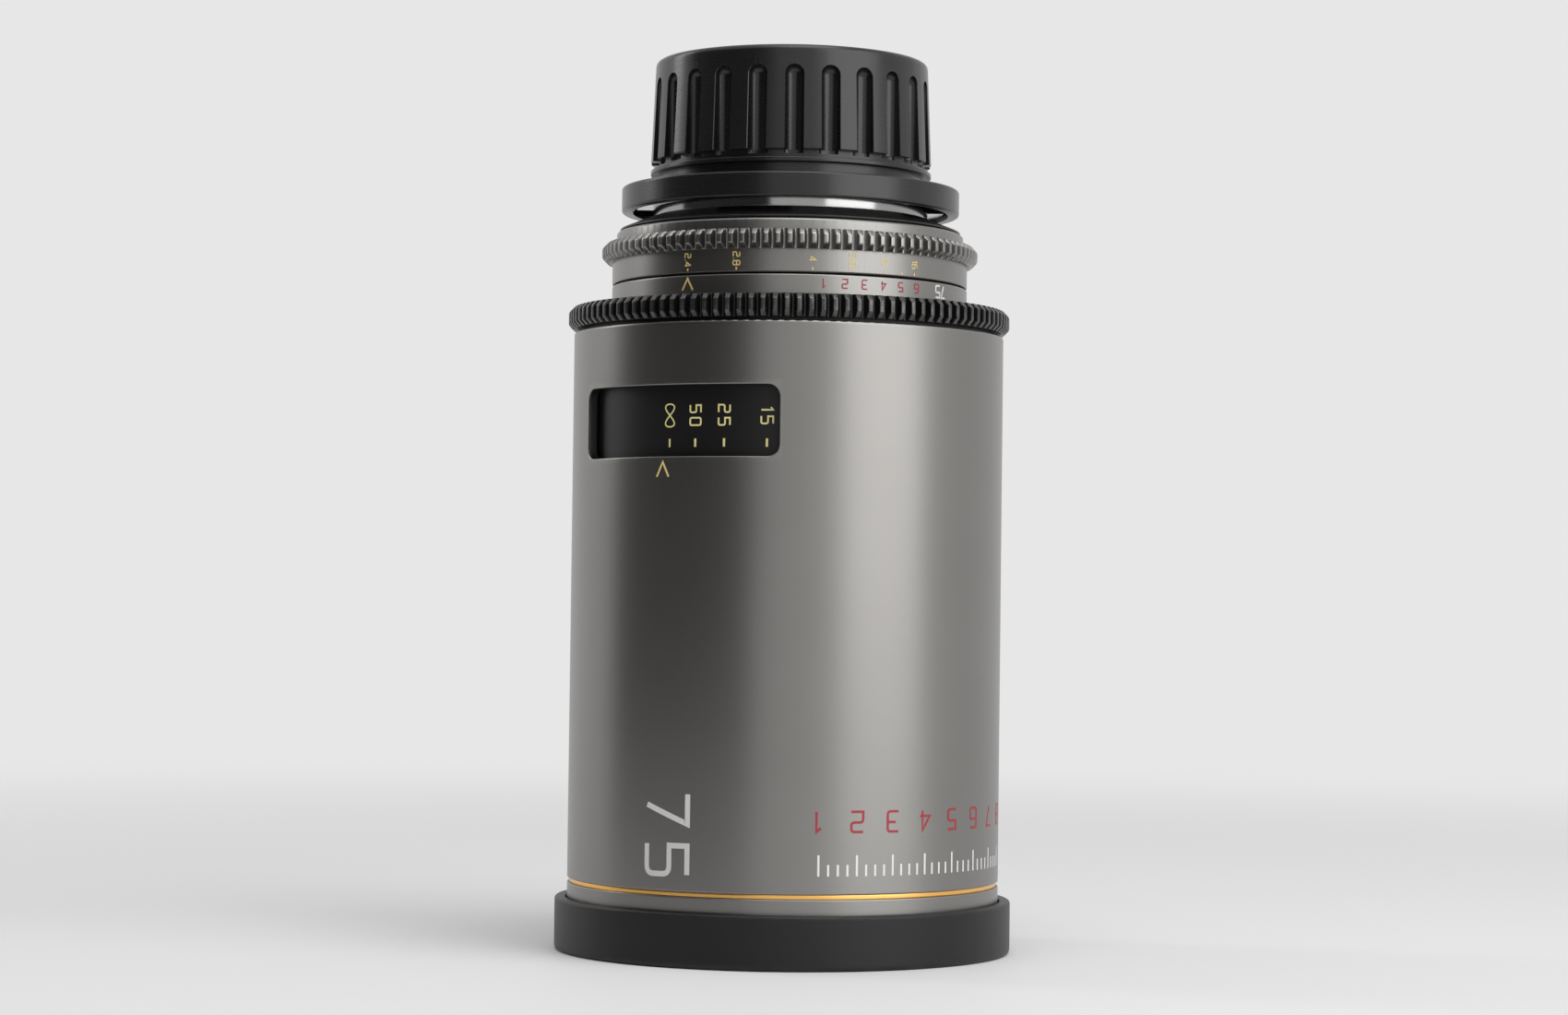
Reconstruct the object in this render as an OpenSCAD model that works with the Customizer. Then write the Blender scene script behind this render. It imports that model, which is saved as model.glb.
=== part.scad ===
// Cinema prime lens standing on its front cap, mount end up, with both caps on.
// Origin: centre of the front cap's underside. +Z: along the optical axis toward the mount.
// -Y: the index marks.
// Built as the real object is: an outer sleeve over a main barrel, a rotating focus ring with its scale
// drum and cam sleeve, a sliding focus cell on three followers, a rotating iris ring with a cam ring and
// eight blades, fixed anamorphic and rear cells, a four-tab lens mount, and two caps. Sizes in millimetres.

/* [Front cap] */
// wall of the front cap
cap_wall = 2.4; // [1.6:0.1:4]
// radial clearance of a cap on what it covers
cap_fit = 0.3; // [0.2:0.05:0.6]
// floor of the front cap
cap_floor = 3; // [2:0.25:6]
// depth of the front cap's cup
cap_depth = 8.5; // [5:0.5:11]

/* [Front bezel] */
// length of the bezel in front of the accent ring
bezel_len = 11.7; // [11:0.1:16]
// wall of the bezel round the filter thread
bezel_wall = 5; // [4.5:0.25:6.5]
// depth of the filter thread
filter_depth = 7; // [5:0.5:8]
// thickness of the bezel's inner web
bezel_web = 2.5; // [2:0.25:3]
// overlap of the inner web on the front cell
web_lap = 2.4; // [2:0.1:3]
// width of the coloured accent ring
accent_w = 1; // [0.6:0.1:2]
// depth of the accent ring below the sleeve
accent_recess = 0.5; // [0:0.05:1]

/* [Outer sleeve] */
// outside diameter of the barrel
sleeve_od = 95; // [94:0.5:100]
// length of the sleeve
sleeve_len = 119.6; // [116:0.2:124]
// wall of the sleeve round the scale drum
sleeve_wall = 2; // [1.6:0.1:2.4]
// wall of the sleeve in front of its inner step
sleeve_front_wall = 3; // [2.8:0.1:3.4]
// distance of the inner step from the sleeve's front edge
sleeve_step = 68.3; // [60:0.5:69]
// height of the scale window
window_h = 15; // [10:0.5:17]
// angle that the scale window spans
window_span = 62.6; // [40:0.2:80]
// corner radius of the scale window
window_r = 2.4; // [1:0.2:4]
// distance from the sleeve's rear edge to the middle of the window
window_drop = 21; // [19:0.5:23]

/* [Main barrel] */
// length of the wide land behind the sleeve's step
land_len = 14; // [10:0.5:14]
// wall of the barrel round the front cell
barrel_wall = 2.45; // [2:0.05:2.6]
// wall of the tube that guides the focus cell
tube_wall = 2; // [1.6:0.1:2.2]
// thickness of the barrel's rear wall
rear_wall = 2.8; // [2.2:0.1:3]

/* [Focus] */
// module of the follow-focus teeth
gear_module = 0.8; // [0.6:0.1:0.8]
// bevel at both ends of the gear teeth
gear_bevel = 1.2; // [0.4:0.1:1.3]
// width of the focus gear
focus_gear_w = 4.9; // [4.6:0.1:6]
// gap between the sleeve and the focus gear
gear_gap = 0.7; // [0.4:0.1:1.2]
// gap between the sleeve and the scale drum
drum_gap = 0.4; // [0.3:0.05:0.5]
// wall of the scale drum
drum_wall = 1.2; // [1:0.1:1.3]
// wall of the cam sleeve
cam_wall = 1.4; // [1.2:0.1:1.6]
// turn of the focus ring between its stops
focus_throw = 157; // [90:1:160]
// travel of the focus cell between the stops
focus_travel = 10; // [6:0.5:11]
// diameter of a cam follower
follower_d = 4; // [3:0.25:4.5]
// wall of the focus cell round its elements
focus_cell_wall = 6.24; // [5.5:0.02:8]
// distance of the focus cell behind the barrel's land
cell_room = 6; // [4:0.5:6]
// distance of the followers from the focus cell's front edge
follower_set = 18; // [16:0.5:20]
// thickness of the focus ring's inner lip
ring_lip_t = 2; // [1.8:0.1:2.2]
// depth of the scale drum's seat in the focus ring
drum_seat = 2.5; // [2.3:0.05:2.6]
// distance of the scale drum behind the barrel's land
drum_set = 5.5; // [4:0.5:7]
// distance of the cam sleeve behind the barrel's land
cam_set = 3; // [2:0.25:4]
// distance of the drum screws in front of the focus ring
drum_screw_set = 4; // [3:0.25:6]

/* [Iris] */
// step from the sleeve in to the iris ring's scale band
iris_step = 8.2; // [7.8:0.1:9]
// wall of the iris ring under its scale
iris_wall = 3.02; // [2.4:0.02:3.2]
// length of the fixed index band
index_len = 7.1; // [6:0.1:7.6]
// length of the iris scale band
iris_band_w = 5; // [4.5:0.1:7]
// width of the iris gear
iris_gear_w = 4.2; // [4:0.1:6]
// length of the iris ring's rear rim
iris_rim_w = 2.5; // [2:0.1:3.4]
// turn of the iris ring between its stops
iris_throw = 78; // [60:1:80]
// number of blades
blades = 8; // [8]
// distance from the blade pivots in to the wide-open aperture
blade_reach = 9; // [8.5:0.1:10]
// distance from the blade chamber's wall in to the pivots
pivot_edge = 7.5; // [7:0.1:7.5]
// turn of a blade between wide open and closed down
blade_turn = 32; // [24:0.5:33]
// thickness of a blade
blade_t = 0.2; // [0.15:0.05:0.24]
// spacing of the blade levels
blade_pitch = 0.36; // [0.34:0.01:0.38]
// distance of a blade's drive pin from its pivot
tail_len = 6.5; // [6.2:0.1:7]
// diameter of a blade's drive pin
tail_pin_d = 1.1; // [0.9:0.1:1.2]
// diameter of a blade's pivot pin
pivot_pin_d = 1.2; // [1:0.1:1.4]
// wall of the rear housing round the blade chamber
housing_wall = 3.2; // [3:0.1:3.4]
// thickness of the cam ring
cam_ring_t = 1.2; // [1:0.1:1.3]
// height of the cam ring's rim
cam_rim_h = 2.8; // [2.6:0.1:3]
// thickness of the base plate
base_t = 1.3; // [1.1:0.1:1.5]
// diameter of the pin between the iris ring and the cam ring
drive_pin_d = 1.8; // [1.6:0.1:2]

/* [Glass] */
// wall of the front cell round the front element
front_cell_wall = 3.9; // [3.4:0.1:6]
// thickness of the front element
front_lens_t = 9; // [8:0.5:12]
// radius of the front element's front face
front_face_radius = 220; // [150:5:400]
// radius of the front element's hollow back
front_hollow_radius = 95; // [90:1:160]
// wall of the front cell round the middle element
mid_cell_wall = 7.9; // [7:0.1:10]
// distance of the middle element behind the front cell's front edge
mid_lens_set = 53.5; // [45:0.5:56]
// rim thickness of the middle element
mid_lens_t = 5; // [4:0.5:8]
// radius of the middle element's back
mid_face_radius = 120; // [90:1:200]
// flat rim outside a curved face
lens_rim = 3.2; // [2:0.1:5]
// width of a ring or seat that holds an element
lens_seat = 2.5; // [2:0.1:3]
// rim thickness of the focus cell's front element
focus_front_t = 6; // [5:0.5:7]
// radius of that element's front face
focus_front_radius = 100; // [80:1:200]
// radius of that element's back face
focus_back_radius = 300; // [200:5:500]
// length of the spacer in the focus cell
focus_gap = 5.5; // [5:0.5:8]
// rim thickness of the doublet's crown
crown_t = 4.5; // [4:0.5:6]
// radius of the crown's front face
crown_radius = 220; // [150:5:400]
// radius of the joint between crown and flint
doublet_radius = 130; // [110:1:250]
// gap between crown and flint at the curved joint
doublet_gap = 0.4; // [0.3:0.05:0.6]
// thickness of the doublet's flint
flint_t = 5.5; // [5.5:0.25:8]
// wall of the rear cell round its elements
rear_cell_wall = 3; // [2.5:0.1:3.5]
// rim thickness of the rear cell's front element
rear_front_t = 4; // [3:0.25:6]
// radius of that element's front face
rear_front_radius = 70; // [50:1:120]
// radius of that element's back face
rear_middle_radius = 90; // [60:1:150]
// length of the spacer in the rear cell
rear_gap = 10.5; // [8:0.5:11]
// rim thickness of the rear cell's back element
rear_back_t = 4.5; // [3.5:0.25:5]
// radius of the back element's rear face
rear_back_radius = 80; // [60:1:150]

/* [Lens mount] */
// diameter of the mount's locating spigot
spigot_d = 54; // [52:0.5:56]
// length of the locating spigot
spigot_len = 5; // [4:0.5:5]
// diameter over the four tabs
tab_d = 69; // [66:0.5:70]
// thickness of the tabs
tab_t = 3; // [2.5:0.1:3.6]
// gap between two mount tabs, in degrees
tab_gap = 34; // [30:1:40]
// turn of the locating notch, in degrees
notch_az = 62; // [55:1:68]
// width of the locating notch
notch_w = 4.4; // [4:0.1:5]
// depth of the locating notch
notch_depth = 2.6; // [2:0.1:3]
// diameter of the polished neck
neck_d = 61; // [60:0.5:62]
// height of the polished neck
neck_h = 1.8; // [1.6:0.1:3]
// height of the conical collar
collar_h = 3; // [2.4:0.1:3.6]
// thickness of the mount shim
shim_t = 0.3; // [0.1:0.05:0.5]
// diameter of the rear cell in the mount
rear_cell_d = 46.8; // [45:0.2:47]
// length of the rear cell behind its flange
rear_cell_len = 26.7; // [25:0.1:30]

/* [Rear cap] */
// diameter of the rear cap's skirt
skirt_d = 74.8; // [74:0.2:80]
// height of the skirt above the mount seat
skirt_rise = 1.6; // [1:0.1:2.5]
// height of the lip's underside above the mount seat
lip_rise = 4.5; // [4:0.1:4.8]
// height of the lip
lip_h = 1; // [0.8:0.1:1.4]
// gap between the lip and the grip
grip_gap = 1.7; // [1.4:0.1:2.4]
// depth of the recesses above and below the lip
lip_recess = 1.8; // [1.4:0.1:2]
// height of the rear cap above the mount seat
rear_cap_h = 29.8; // [29:0.2:36]
// thickness of the rear cap's top
cap_top_t = 3.5; // [2:0.25:5]
// rounding of the rear cap's top edge
cap_top_edge = 1.2; // [0.6:0.1:1.6]
// diameter of the grip at its foot
grip_d = 62.2; // [61.6:0.2:66]
// diameter of the grip at its top
grip_top_d = 60.4; // [60:0.2:61.4]
// number of grip flutes
flutes = 24; // [12:1:30]
// width of a grip flute
flute_w = 4; // [2.5:0.1:4.6]
// depth of a grip flute
flute_depth = 1.9; // [1:0.1:2.2]
// distance of the flutes' arches below the cap's top
flute_end = 4.4; // [3:0.2:6]
// turn of the flutes from the index
flute_phase = 4.5; // [0:0.5:15]

/* [Fasteners] */
// thread diameter of the housing and mount screws
screw_d = 1.6; // [1.4:0.1:1.8]
// head diameter of the housing screws
housing_head_d = 2.7; // [2.4:0.1:2.8]
// length of thread in the rear housing, from the front
housing_bite = 4.5; // [3.5:0.25:5]
// head height of the housing and mount screws
head_h = 1.2; // [1:0.1:1.4]
// head diameter of the mount screws
mount_head_d = 2.9; // [2.6:0.1:3]
// length of thread in the rear housing, from the mount
mount_bite = 4; // [3:0.25:4.5]
// thread diameter of the drum screws
drum_screw_d = 1.5; // [1.2:0.1:1.7]
// head diameter of the drum screws
drum_head_d = 2.2; // [1.9:0.1:2.4]

/* [Fits] */
// radial clearance of a running fit
run_fit = 0.08; // [0.03:0.01:0.1]
// radial clearance of a fixed fit
slip = 0.05; // [0.02:0.01:0.08]
// gap between pieces that must not touch
free_gap = 0.3; // [0.3:0.05:0.4]
// broken edge of a cap or of the barrel's ends
edge = 0.5; // [0.3:0.1:0.6]
// broken edge of a fine ring
fine_edge = 0.25; // [0.1:0.05:0.3]

/* [Hidden] */
$fn = 128;
index_az = -90;
// axial levels from the front to the mount
z_front = cap_floor;
z_cap_rim = z_front + cap_depth;
z_filter = z_front + filter_depth;
z_barrel = z_filter + bezel_web;
z_accent = z_front + bezel_len;
z_sleeve = z_accent + accent_w;
z_step = z_sleeve + sleeve_step;
z_tube = z_step + land_len;
z_sleeve_end = z_sleeve + sleeve_len;
z_window = z_sleeve_end - window_drop;
z_gear = z_sleeve_end + gear_gap;
z_gear_end = z_gear + focus_gear_w;
z_lip = z_gear_end - ring_lip_t;
z_drum_seat = z_gear + drum_seat;
z_tube_end = z_lip - free_gap;
z_index_end = z_tube_end + index_len;
z_iris = z_index_end + free_gap;
z_iris_gear = z_iris + iris_band_w;
z_iris_rim = z_iris_gear + iris_gear_w;
z_iris_end = z_iris_rim + iris_rim_w;
z_collar = z_iris_end + free_gap;
z_shim = z_collar + collar_h;
z_neck = z_shim + shim_t;
z_tabs = z_neck + neck_h;
z_seat = z_tabs + tab_t;
z_spigot = z_seat + spigot_len;
z_top = z_seat + rear_cap_h;
// radii from the sleeve inward
sleeve_r = sleeve_od / 2;
sleeve_ir = sleeve_r - sleeve_wall;
sleeve_front_ir = sleeve_r - sleeve_front_wall;
barrel_front_r = sleeve_front_ir - slip;
land_r = sleeve_ir - slip;
cell_bore_r = barrel_front_r - barrel_wall;
cell_r = cell_bore_r - slip;
drum_r = sleeve_ir - drum_gap;
drum_ir = drum_r - drum_wall;
cam_r = drum_ir - slip;
cam_ir = cam_r - cam_wall;
tube_r = cam_ir - run_fit;
tube_ir = tube_r - tube_wall;
focus_cell_r = tube_ir - run_fit;
cap_ir = sleeve_r + cap_fit;
cap_r = cap_ir + cap_wall;
filter_r = sleeve_r - bezel_wall;
web_r = cell_r - web_lap;
// gears
focus_teeth = 2 * ceil(sleeve_r / gear_module);
iris_band_r = sleeve_r - iris_step;
iris_rim_r = iris_band_r - 0.9;
iris_teeth = 2 * ceil(iris_band_r / gear_module + 1.25);
// iris and rear housing
iris_bore_r = iris_band_r - iris_wall;
housing_r = iris_bore_r - run_fit;
chamber_r = housing_r - housing_wall;
housing_screw_r = chamber_r + housing_wall / 2;
cam_ring_r = chamber_r - run_fit;
z_cam_ring = z_iris + 0.4;
z_blades = z_cam_ring + cam_ring_t + 0.2;
z_base = z_blades + blades * blade_pitch + 0.3;
z_chamber_end = z_base + base_t;
drive_az = 120;
drive_over = 4;
z_cam_rim = z_cam_ring + cam_ring_t + cam_rim_h;
z_drive = z_cam_rim - cam_rim_h / 2;
// blade drive: the pin sits behind the pivot and swings outward while the blade closes
tail_az = -97;
blade_ratio = blade_turn / iris_throw;
pivot_r = chamber_r - pivot_edge;
iris_open_r = pivot_r - blade_reach;
band_r = pivot_r - 1.3;
// rear cell and mount
rear_cell_r = rear_cell_d / 2;
rear_flange_r = rear_cell_r + rear_cell_wall;
rear_stop_r = rear_flange_r - 1.5;
rear_bore_r = rear_cell_r - rear_cell_wall;
rear_seat_r = rear_bore_r - 0.8 * lens_seat;
rear_lens_r = rear_bore_r - slip;
rear_rim_r = rear_bore_r - 0.75 * lens_rim;
z_rear_flange = z_chamber_end + 2.5;
collar_r = iris_band_r - 1.6;
spigot_r = spigot_d / 2;
neck_r = neck_d / 2;
neck_draft = 0.2;
tab_r = tab_d / 2;
screw_r = spigot_r + 1.65;
z_rear_cell_end = z_collar + rear_cell_len;
z_rear_lens = z_rear_flange + lens_seat;
z_rear_spacer = z_rear_lens + rear_front_t;
z_rear_back = z_rear_spacer + rear_gap;
z_rear_ring = z_rear_back + rear_back_t;
// focus cell stations at the far stop
focus_lens_r = focus_cell_r - focus_cell_wall - slip;
focus_rim_r = focus_lens_r - lens_rim;
follower_foot_r = focus_cell_r - 0.6 * focus_cell_wall;
follower_pin_d = 0.72 * follower_d;
z_cell = z_tube + cell_room;
z_cell_ring = z_cell + lens_seat;
z_focus_front = z_cell_ring + 1.4 * lens_seat;
z_focus_spacer = z_focus_front + focus_front_t;
z_crown = z_focus_spacer + focus_gap;
z_flint = z_crown + crown_t;
z_flint_end = z_flint + flint_t;
z_cell_end = z_flint_end + lens_seat;
z_follower = z_cell + follower_set;
// cam slots: flats round the slot, and overrun at each end in degrees
cam_steps = 28;
cam_over = 3.5;
// front cell stations
z_front_lens = z_barrel + 1.2 * lens_seat;
front_lens_r = cell_r - front_cell_wall - slip;
front_rim_r = front_lens_r - lens_rim;
z_mid_lens = z_barrel + mid_lens_set;
mid_lens_r = cell_r - mid_cell_wall - slip;
mid_rim_r = mid_lens_r - lens_rim;
z_cell_stop = z_step + 4;
// rear cap
skirt_r = skirt_d / 2;
skirt_bore_r = tab_r + 0.5;
z_skirt = z_tabs - neck_h + 1;
z_skirt_end = z_seat + skirt_rise;
grip_r = grip_d / 2;
grip_top_r = grip_top_d / 2;
lip_recess_r = grip_r - lip_recess;
socket_r = spigot_r + 1;
hollow_r = spigot_r - 1.5;
z_cap_lip = z_seat + lip_rise;
z_cap_lip_end = z_cap_lip + lip_h;
z_grip = z_cap_lip_end + grip_gap;
z_flute = z_grip - grip_gap / 2;
z_socket_end = z_spigot + free_gap;
z_hollow_end = z_top - cap_top_t;
z_flute_end = z_top - flute_end;
z_flute_arch = z_flute_end - flute_w / 2;

titanium = [0.36, 0.35, 0.35];
black = [0.06, 0.06, 0.065];
gold = [0.80, 0.52, 0.22];
steel = [0.72, 0.73, 0.74];
brass = [0.72, 0.58, 0.30];
glass = [0.75, 0.85, 0.90, 0.5];

// solid of revolution from a list of [radius, height] points
module turned(points) {
    rotate_extrude() polygon(points);
}

// plain ring
module ring(r_out, r_in, z0, z1) {
    turned([[r_in, z0], [r_out, z0], [r_out, z1], [r_in, z1]]);
}

// points of a rounded outer edge, from the wall up to the top
function rounded(r, z, size) = [for (a = [0:22.5:90]) [r - size + size * cos(a), z - size + size * sin(a)]];

// four corners of a radial section at one angle
function corners(a, r0, r1, z0, z1) = [
    [r0 * cos(a), r0 * sin(a), z0], [r1 * cos(a), r1 * sin(a), z0],
    [r1 * cos(a), r1 * sin(a), z1], [r0 * cos(a), r0 * sin(a), z1]];

// cutter that runs round the axis, from a list of [angle, low, high]
module wrapped(stations, r0, r1) {
    n = len(stations);
    points = [for (s = stations) each corners(s[0], r0, r1, s[1], s[2])];
    sides = [for (i = [0:n - 2]) for (j = [0:3]) each [
        [4 * i + j, 4 * i + 4 + (j + 1) % 4, 4 * i + 4 + j],
        [4 * i + j, 4 * i + (j + 1) % 4, 4 * i + 4 + (j + 1) % 4]]];
    e = 4 * n - 4;
    ends = [[0, 2, 1], [0, 3, 2], [e, e + 1, e + 2], [e, e + 2, e + 3]];
    polyhedron(points, concat(sides, ends), convexity = 6);
}

// distance from the middle of a circle to a chord of the given half width
function across(radius, half) = sqrt(radius * radius - half * half);

// spherical bulge on a flat, pointing down for side -1 and up for side 1
module bulge(r, radius, z, side) {
    sag = radius - across(radius, r);
    intersection() {
        translate([0, 0, z + side * (sag - radius)]) sphere(radius, $fn = 256);
        translate([0, 0, side > 0 ? z - 0.5 : z - sag - 1]) cylinder(r = r, h = sag + 1.5);
    }
}

// toothed disc with bevelled edges
module toothed(teeth, z0, z1) {
    m = gear_module;
    pitch = 360 / teeth;
    tip = m * (teeth / 2 + 1);
    root = m * (teeth / 2 - 1.25);
    intersection() {
        translate([0, 0, z0]) linear_extrude(z1 - z0) polygon([for (i = [0:teeth - 1])
            for (s = [[root, -0.34], [tip, -0.17], [tip, 0.17], [root, 0.34]])
                [s[0] * cos((i + s[1]) * pitch), s[0] * sin((i + s[1]) * pitch)]]);
        turned([[0, z0], [tip - gear_bevel, z0], [tip + 0.05, z0 + gear_bevel + 0.05],
            [tip + 0.05, z1 - gear_bevel - 0.05], [tip - gear_bevel, z1], [0, z1]]);
    }
}

// socket set along a circle, drawn from the given height downward
module screw_circle(count, r, z, d, length, phase = 0) {
    for (i = [0:count - 1])
        rotate([0, 0, phase + i * 360 / count]) translate([r, 0, z - length])
            cylinder(d = d, h = length, $fn = 32);
}

module front_cap() color(black)
    turned([[0, 0], [cap_r - 2 * edge, 0], [cap_r, 2 * edge], [cap_r, z_cap_rim - edge],
        [cap_r - edge, z_cap_rim], [cap_ir + edge, z_cap_rim], [cap_ir, z_cap_rim - edge],
        [cap_ir, z_front], [0, z_front]]);

module front_bezel() color(titanium)
    turned([[filter_r, z_front], [sleeve_r - edge, z_front], [sleeve_r, z_front + edge],
        [sleeve_r, z_accent - fine_edge], [sleeve_r - fine_edge, z_accent],
        [sleeve_front_ir, z_accent], [sleeve_front_ir, z_barrel],
        [web_r, z_barrel], [web_r, z_filter], [filter_r, z_filter]]);

module accent_ring() color(gold)
    ring(sleeve_r - accent_recess, sleeve_front_ir, z_accent, z_sleeve);

// rounded window as a list of stations for the wrapped cutter
function window_half(x, half) = x < window_r ? window_h / 2 - window_r
    + sqrt(max(0, window_r * window_r - (window_r - x) * (window_r - x)))
    : half - x < 0 ? 0 : window_h / 2;
window_arc = sleeve_r * window_span * PI / 180;
window_cuts = concat([for (i = [0:8]) window_r * (1 - cos(i * 11.25))],
    [for (i = [1:15]) window_r + (window_arc - 2 * window_r) * i / 15],
    [for (i = [1:8]) window_arc - window_r + window_r * sin(i * 11.25)]);
function window_station(x) = let (edge = min(x, window_arc - x), h = window_half(edge, window_arc))
    [index_az - window_span / 2 + window_span * x / window_arc, z_window - h, z_window + h];

module outer_sleeve() color(titanium) difference() {
    turned([[sleeve_front_ir, z_sleeve], [sleeve_r - fine_edge, z_sleeve], [sleeve_r, z_sleeve + fine_edge],
        [sleeve_r, z_sleeve_end - edge], [sleeve_r - edge, z_sleeve_end], [sleeve_ir, z_sleeve_end],
        [sleeve_ir, z_step], [sleeve_front_ir, z_step]]);
    wrapped([for (x = window_cuts) window_station(x)], sleeve_ir - 1, sleeve_r + 1);
}

module main_barrel() color(black) difference() {
    turned([[cell_bore_r, z_barrel], [barrel_front_r, z_barrel], [barrel_front_r, z_step], [land_r, z_step],
        [land_r, z_tube], [tube_r, z_tube], [tube_r, z_tube_end], [chamber_r, z_tube_end],
        [chamber_r, z_tube_end - rear_wall], [tube_ir, z_tube_end - rear_wall], [tube_ir, z_cell_stop],
        [cell_bore_r, z_cell_stop]]);
    for (i = [0:2]) rotate([0, 0, i * 120])
        translate([tube_ir - 1, -follower_d / 2 - run_fit, z_follower - focus_travel - follower_d / 2 - edge])
            cube([tube_wall + 2, follower_d + 2 * run_fit, focus_travel + follower_d + 2 * edge]);
    screw_circle(6, housing_screw_r, z_tube_end + 1, screw_d + 2 * slip, rear_wall + 2);
    screw_circle(6, housing_screw_r, z_tube_end - rear_wall + head_h, housing_head_d + 2 * slip, 2 * head_h);
}

module front_cell() color(black)
    turned([[front_lens_r - 1.5, z_front_lens + front_lens_t],
        [front_lens_r + slip, z_front_lens + front_lens_t],
        [front_lens_r + slip, z_barrel], [cell_r, z_barrel], [cell_r, z_cell_stop],
        [mid_lens_r + slip, z_cell_stop], [mid_lens_r + slip, z_mid_lens], [mid_lens_r - 1.6, z_mid_lens],
        [mid_lens_r - 1.6, z_mid_lens - 4]]);

module front_element() color(glass) difference() {
    union() {
        translate([0, 0, z_front_lens]) cylinder(r = front_lens_r, h = front_lens_t);
        bulge(front_rim_r, front_face_radius, z_front_lens, -1);
    }
    intersection() {
        translate([0, 0, z_front_lens + front_lens_t + across(front_hollow_radius, front_rim_r)])
            rotate([0, 90, 0])
            cylinder(r = front_hollow_radius, h = 3 * front_lens_r, center = true, $fn = 256);
        translate([0, 0, z_front_lens]) cylinder(r = front_rim_r, h = 2 * front_lens_t);
    }
}

module front_retaining_ring() color(black)
    turned([[front_lens_r - 2, z_barrel + 0.4], [front_lens_r, z_barrel + 0.4], [front_lens_r, z_front_lens],
        [front_lens_r - 2, z_front_lens]]);

module middle_element() color(glass) {
    translate([0, 0, z_mid_lens]) cylinder(r = mid_lens_r, h = mid_lens_t);
    intersection() {
        translate([0, 0, z_mid_lens + mid_lens_t - across(mid_face_radius, mid_rim_r)]) rotate([0, 90, 0])
            cylinder(r = mid_face_radius, h = 3 * mid_lens_r, center = true, $fn = 256);
        translate([0, 0, z_mid_lens + mid_lens_t / 2]) cylinder(r = mid_rim_r, h = 4 * mid_lens_t);
    }
}

module middle_retaining_ring() color(black)
    ring(mid_lens_r, mid_lens_r - lens_seat, z_mid_lens + mid_lens_t, z_mid_lens + mid_lens_t + lens_seat);

module focus_ring() color(black) difference() {
    toothed(focus_teeth, z_gear, z_gear_end);
    turned([[0, z_gear - 1], [drum_r + slip, z_gear - 1], [drum_r + slip, z_drum_seat],
        [cam_r - slip, z_drum_seat], [cam_r - slip, z_lip], [iris_band_r + drum_gap, z_lip],
        [iris_band_r + drum_gap, z_gear_end + 1], [0, z_gear_end + 1]]);
}

module scale_drum() color(black) difference() {
    ring(drum_r, drum_ir, z_tube + drum_set, z_drum_seat);
    screw_sides(drum_ir - 1, drum_r + 1, drum_head_d);
}

module screw_sides(r0, r1, d) {
    for (i = [0:3]) rotate([0, 0, 45 + i * 90]) translate([r0, 0, z_gear - drum_screw_set]) rotate([0, 90, 0])
        cylinder(d = d, h = r1 - r0, $fn = 32);
}

// one station of a helical cam slot
function cam_station(k, start) = let (
    phi = (focus_throw + 2 * cam_over) * k / cam_steps - cam_over,
    z = z_follower - focus_travel * phi / focus_throw,
    w = follower_d / 2 + free_gap) [start + phi, z - w, z + w];

module cam_sleeve() color(brass) difference() {
    ring(cam_r, cam_ir, z_tube + cam_set, z_gear);
    for (i = [0:2]) wrapped([for (k = [0:cam_steps]) cam_station(k, i * 120)], cam_ir - 1, cam_r + 1);
    screw_sides(cam_ir - 1, cam_r + 1, drum_screw_d);
}

module drum_screws() color(steel) for (i = [0:3]) rotate([0, 0, 45 + i * 90])
    translate([0, 0, z_gear - drum_screw_set]) rotate([0, 90, 0]) {
        translate([0, 0, cam_ir + free_gap])
            cylinder(d = drum_screw_d - 2 * slip, h = drum_ir + free_gap - cam_ir, $fn = 32);
        translate([0, 0, drum_ir + free_gap])
            cylinder(d = drum_head_d - 2 * slip, h = drum_wall - free_gap - slip, $fn = 32);
    }

module focus_retaining_ring() color(steel)
    ring(drum_ir - drum_gap, tube_r + slip, z_gear + free_gap, z_tube_end - free_gap);

module focus_cell() color(black) difference() {
    turned([[focus_lens_r + slip, z_cell], [focus_cell_r, z_cell], [focus_cell_r, z_cell_end],
        [focus_lens_r - lens_seat, z_cell_end], [focus_lens_r - lens_seat, z_flint_end],
        [focus_lens_r + slip, z_flint_end]]);
    for (i = [0:2]) rotate([0, 0, i * 120]) translate([follower_foot_r - slip, 0, z_follower])
        rotate([0, 90, 0]) cylinder(d = follower_pin_d + 2 * slip, h = focus_cell_wall, $fn = 48);
}

module focus_front_element() color(glass) {
    translate([0, 0, z_focus_front]) cylinder(r = focus_lens_r, h = focus_front_t);
    bulge(focus_rim_r, focus_front_radius, z_focus_front, -1);
    bulge(focus_rim_r, focus_back_radius, z_focus_spacer, 1);
}

module focus_spacer() color(black)
    ring(focus_lens_r, focus_lens_r - lens_seat, z_focus_spacer, z_crown);

module focus_crown_element() color(glass) {
    translate([0, 0, z_crown]) cylinder(r = focus_lens_r, h = crown_t);
    bulge(focus_rim_r, crown_radius, z_crown, -1);
    bulge(focus_rim_r, doublet_radius, z_flint, 1);
}

module focus_flint_element() color(glass) difference() {
    translate([0, 0, z_flint]) cylinder(r = focus_lens_r, h = flint_t);
    bulge(focus_rim_r + slip, doublet_radius - doublet_gap, z_flint, 1);
}

module focus_cell_ring() color(black)
    ring(focus_lens_r, focus_lens_r - lens_seat, z_cell_ring, z_focus_front);

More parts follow.
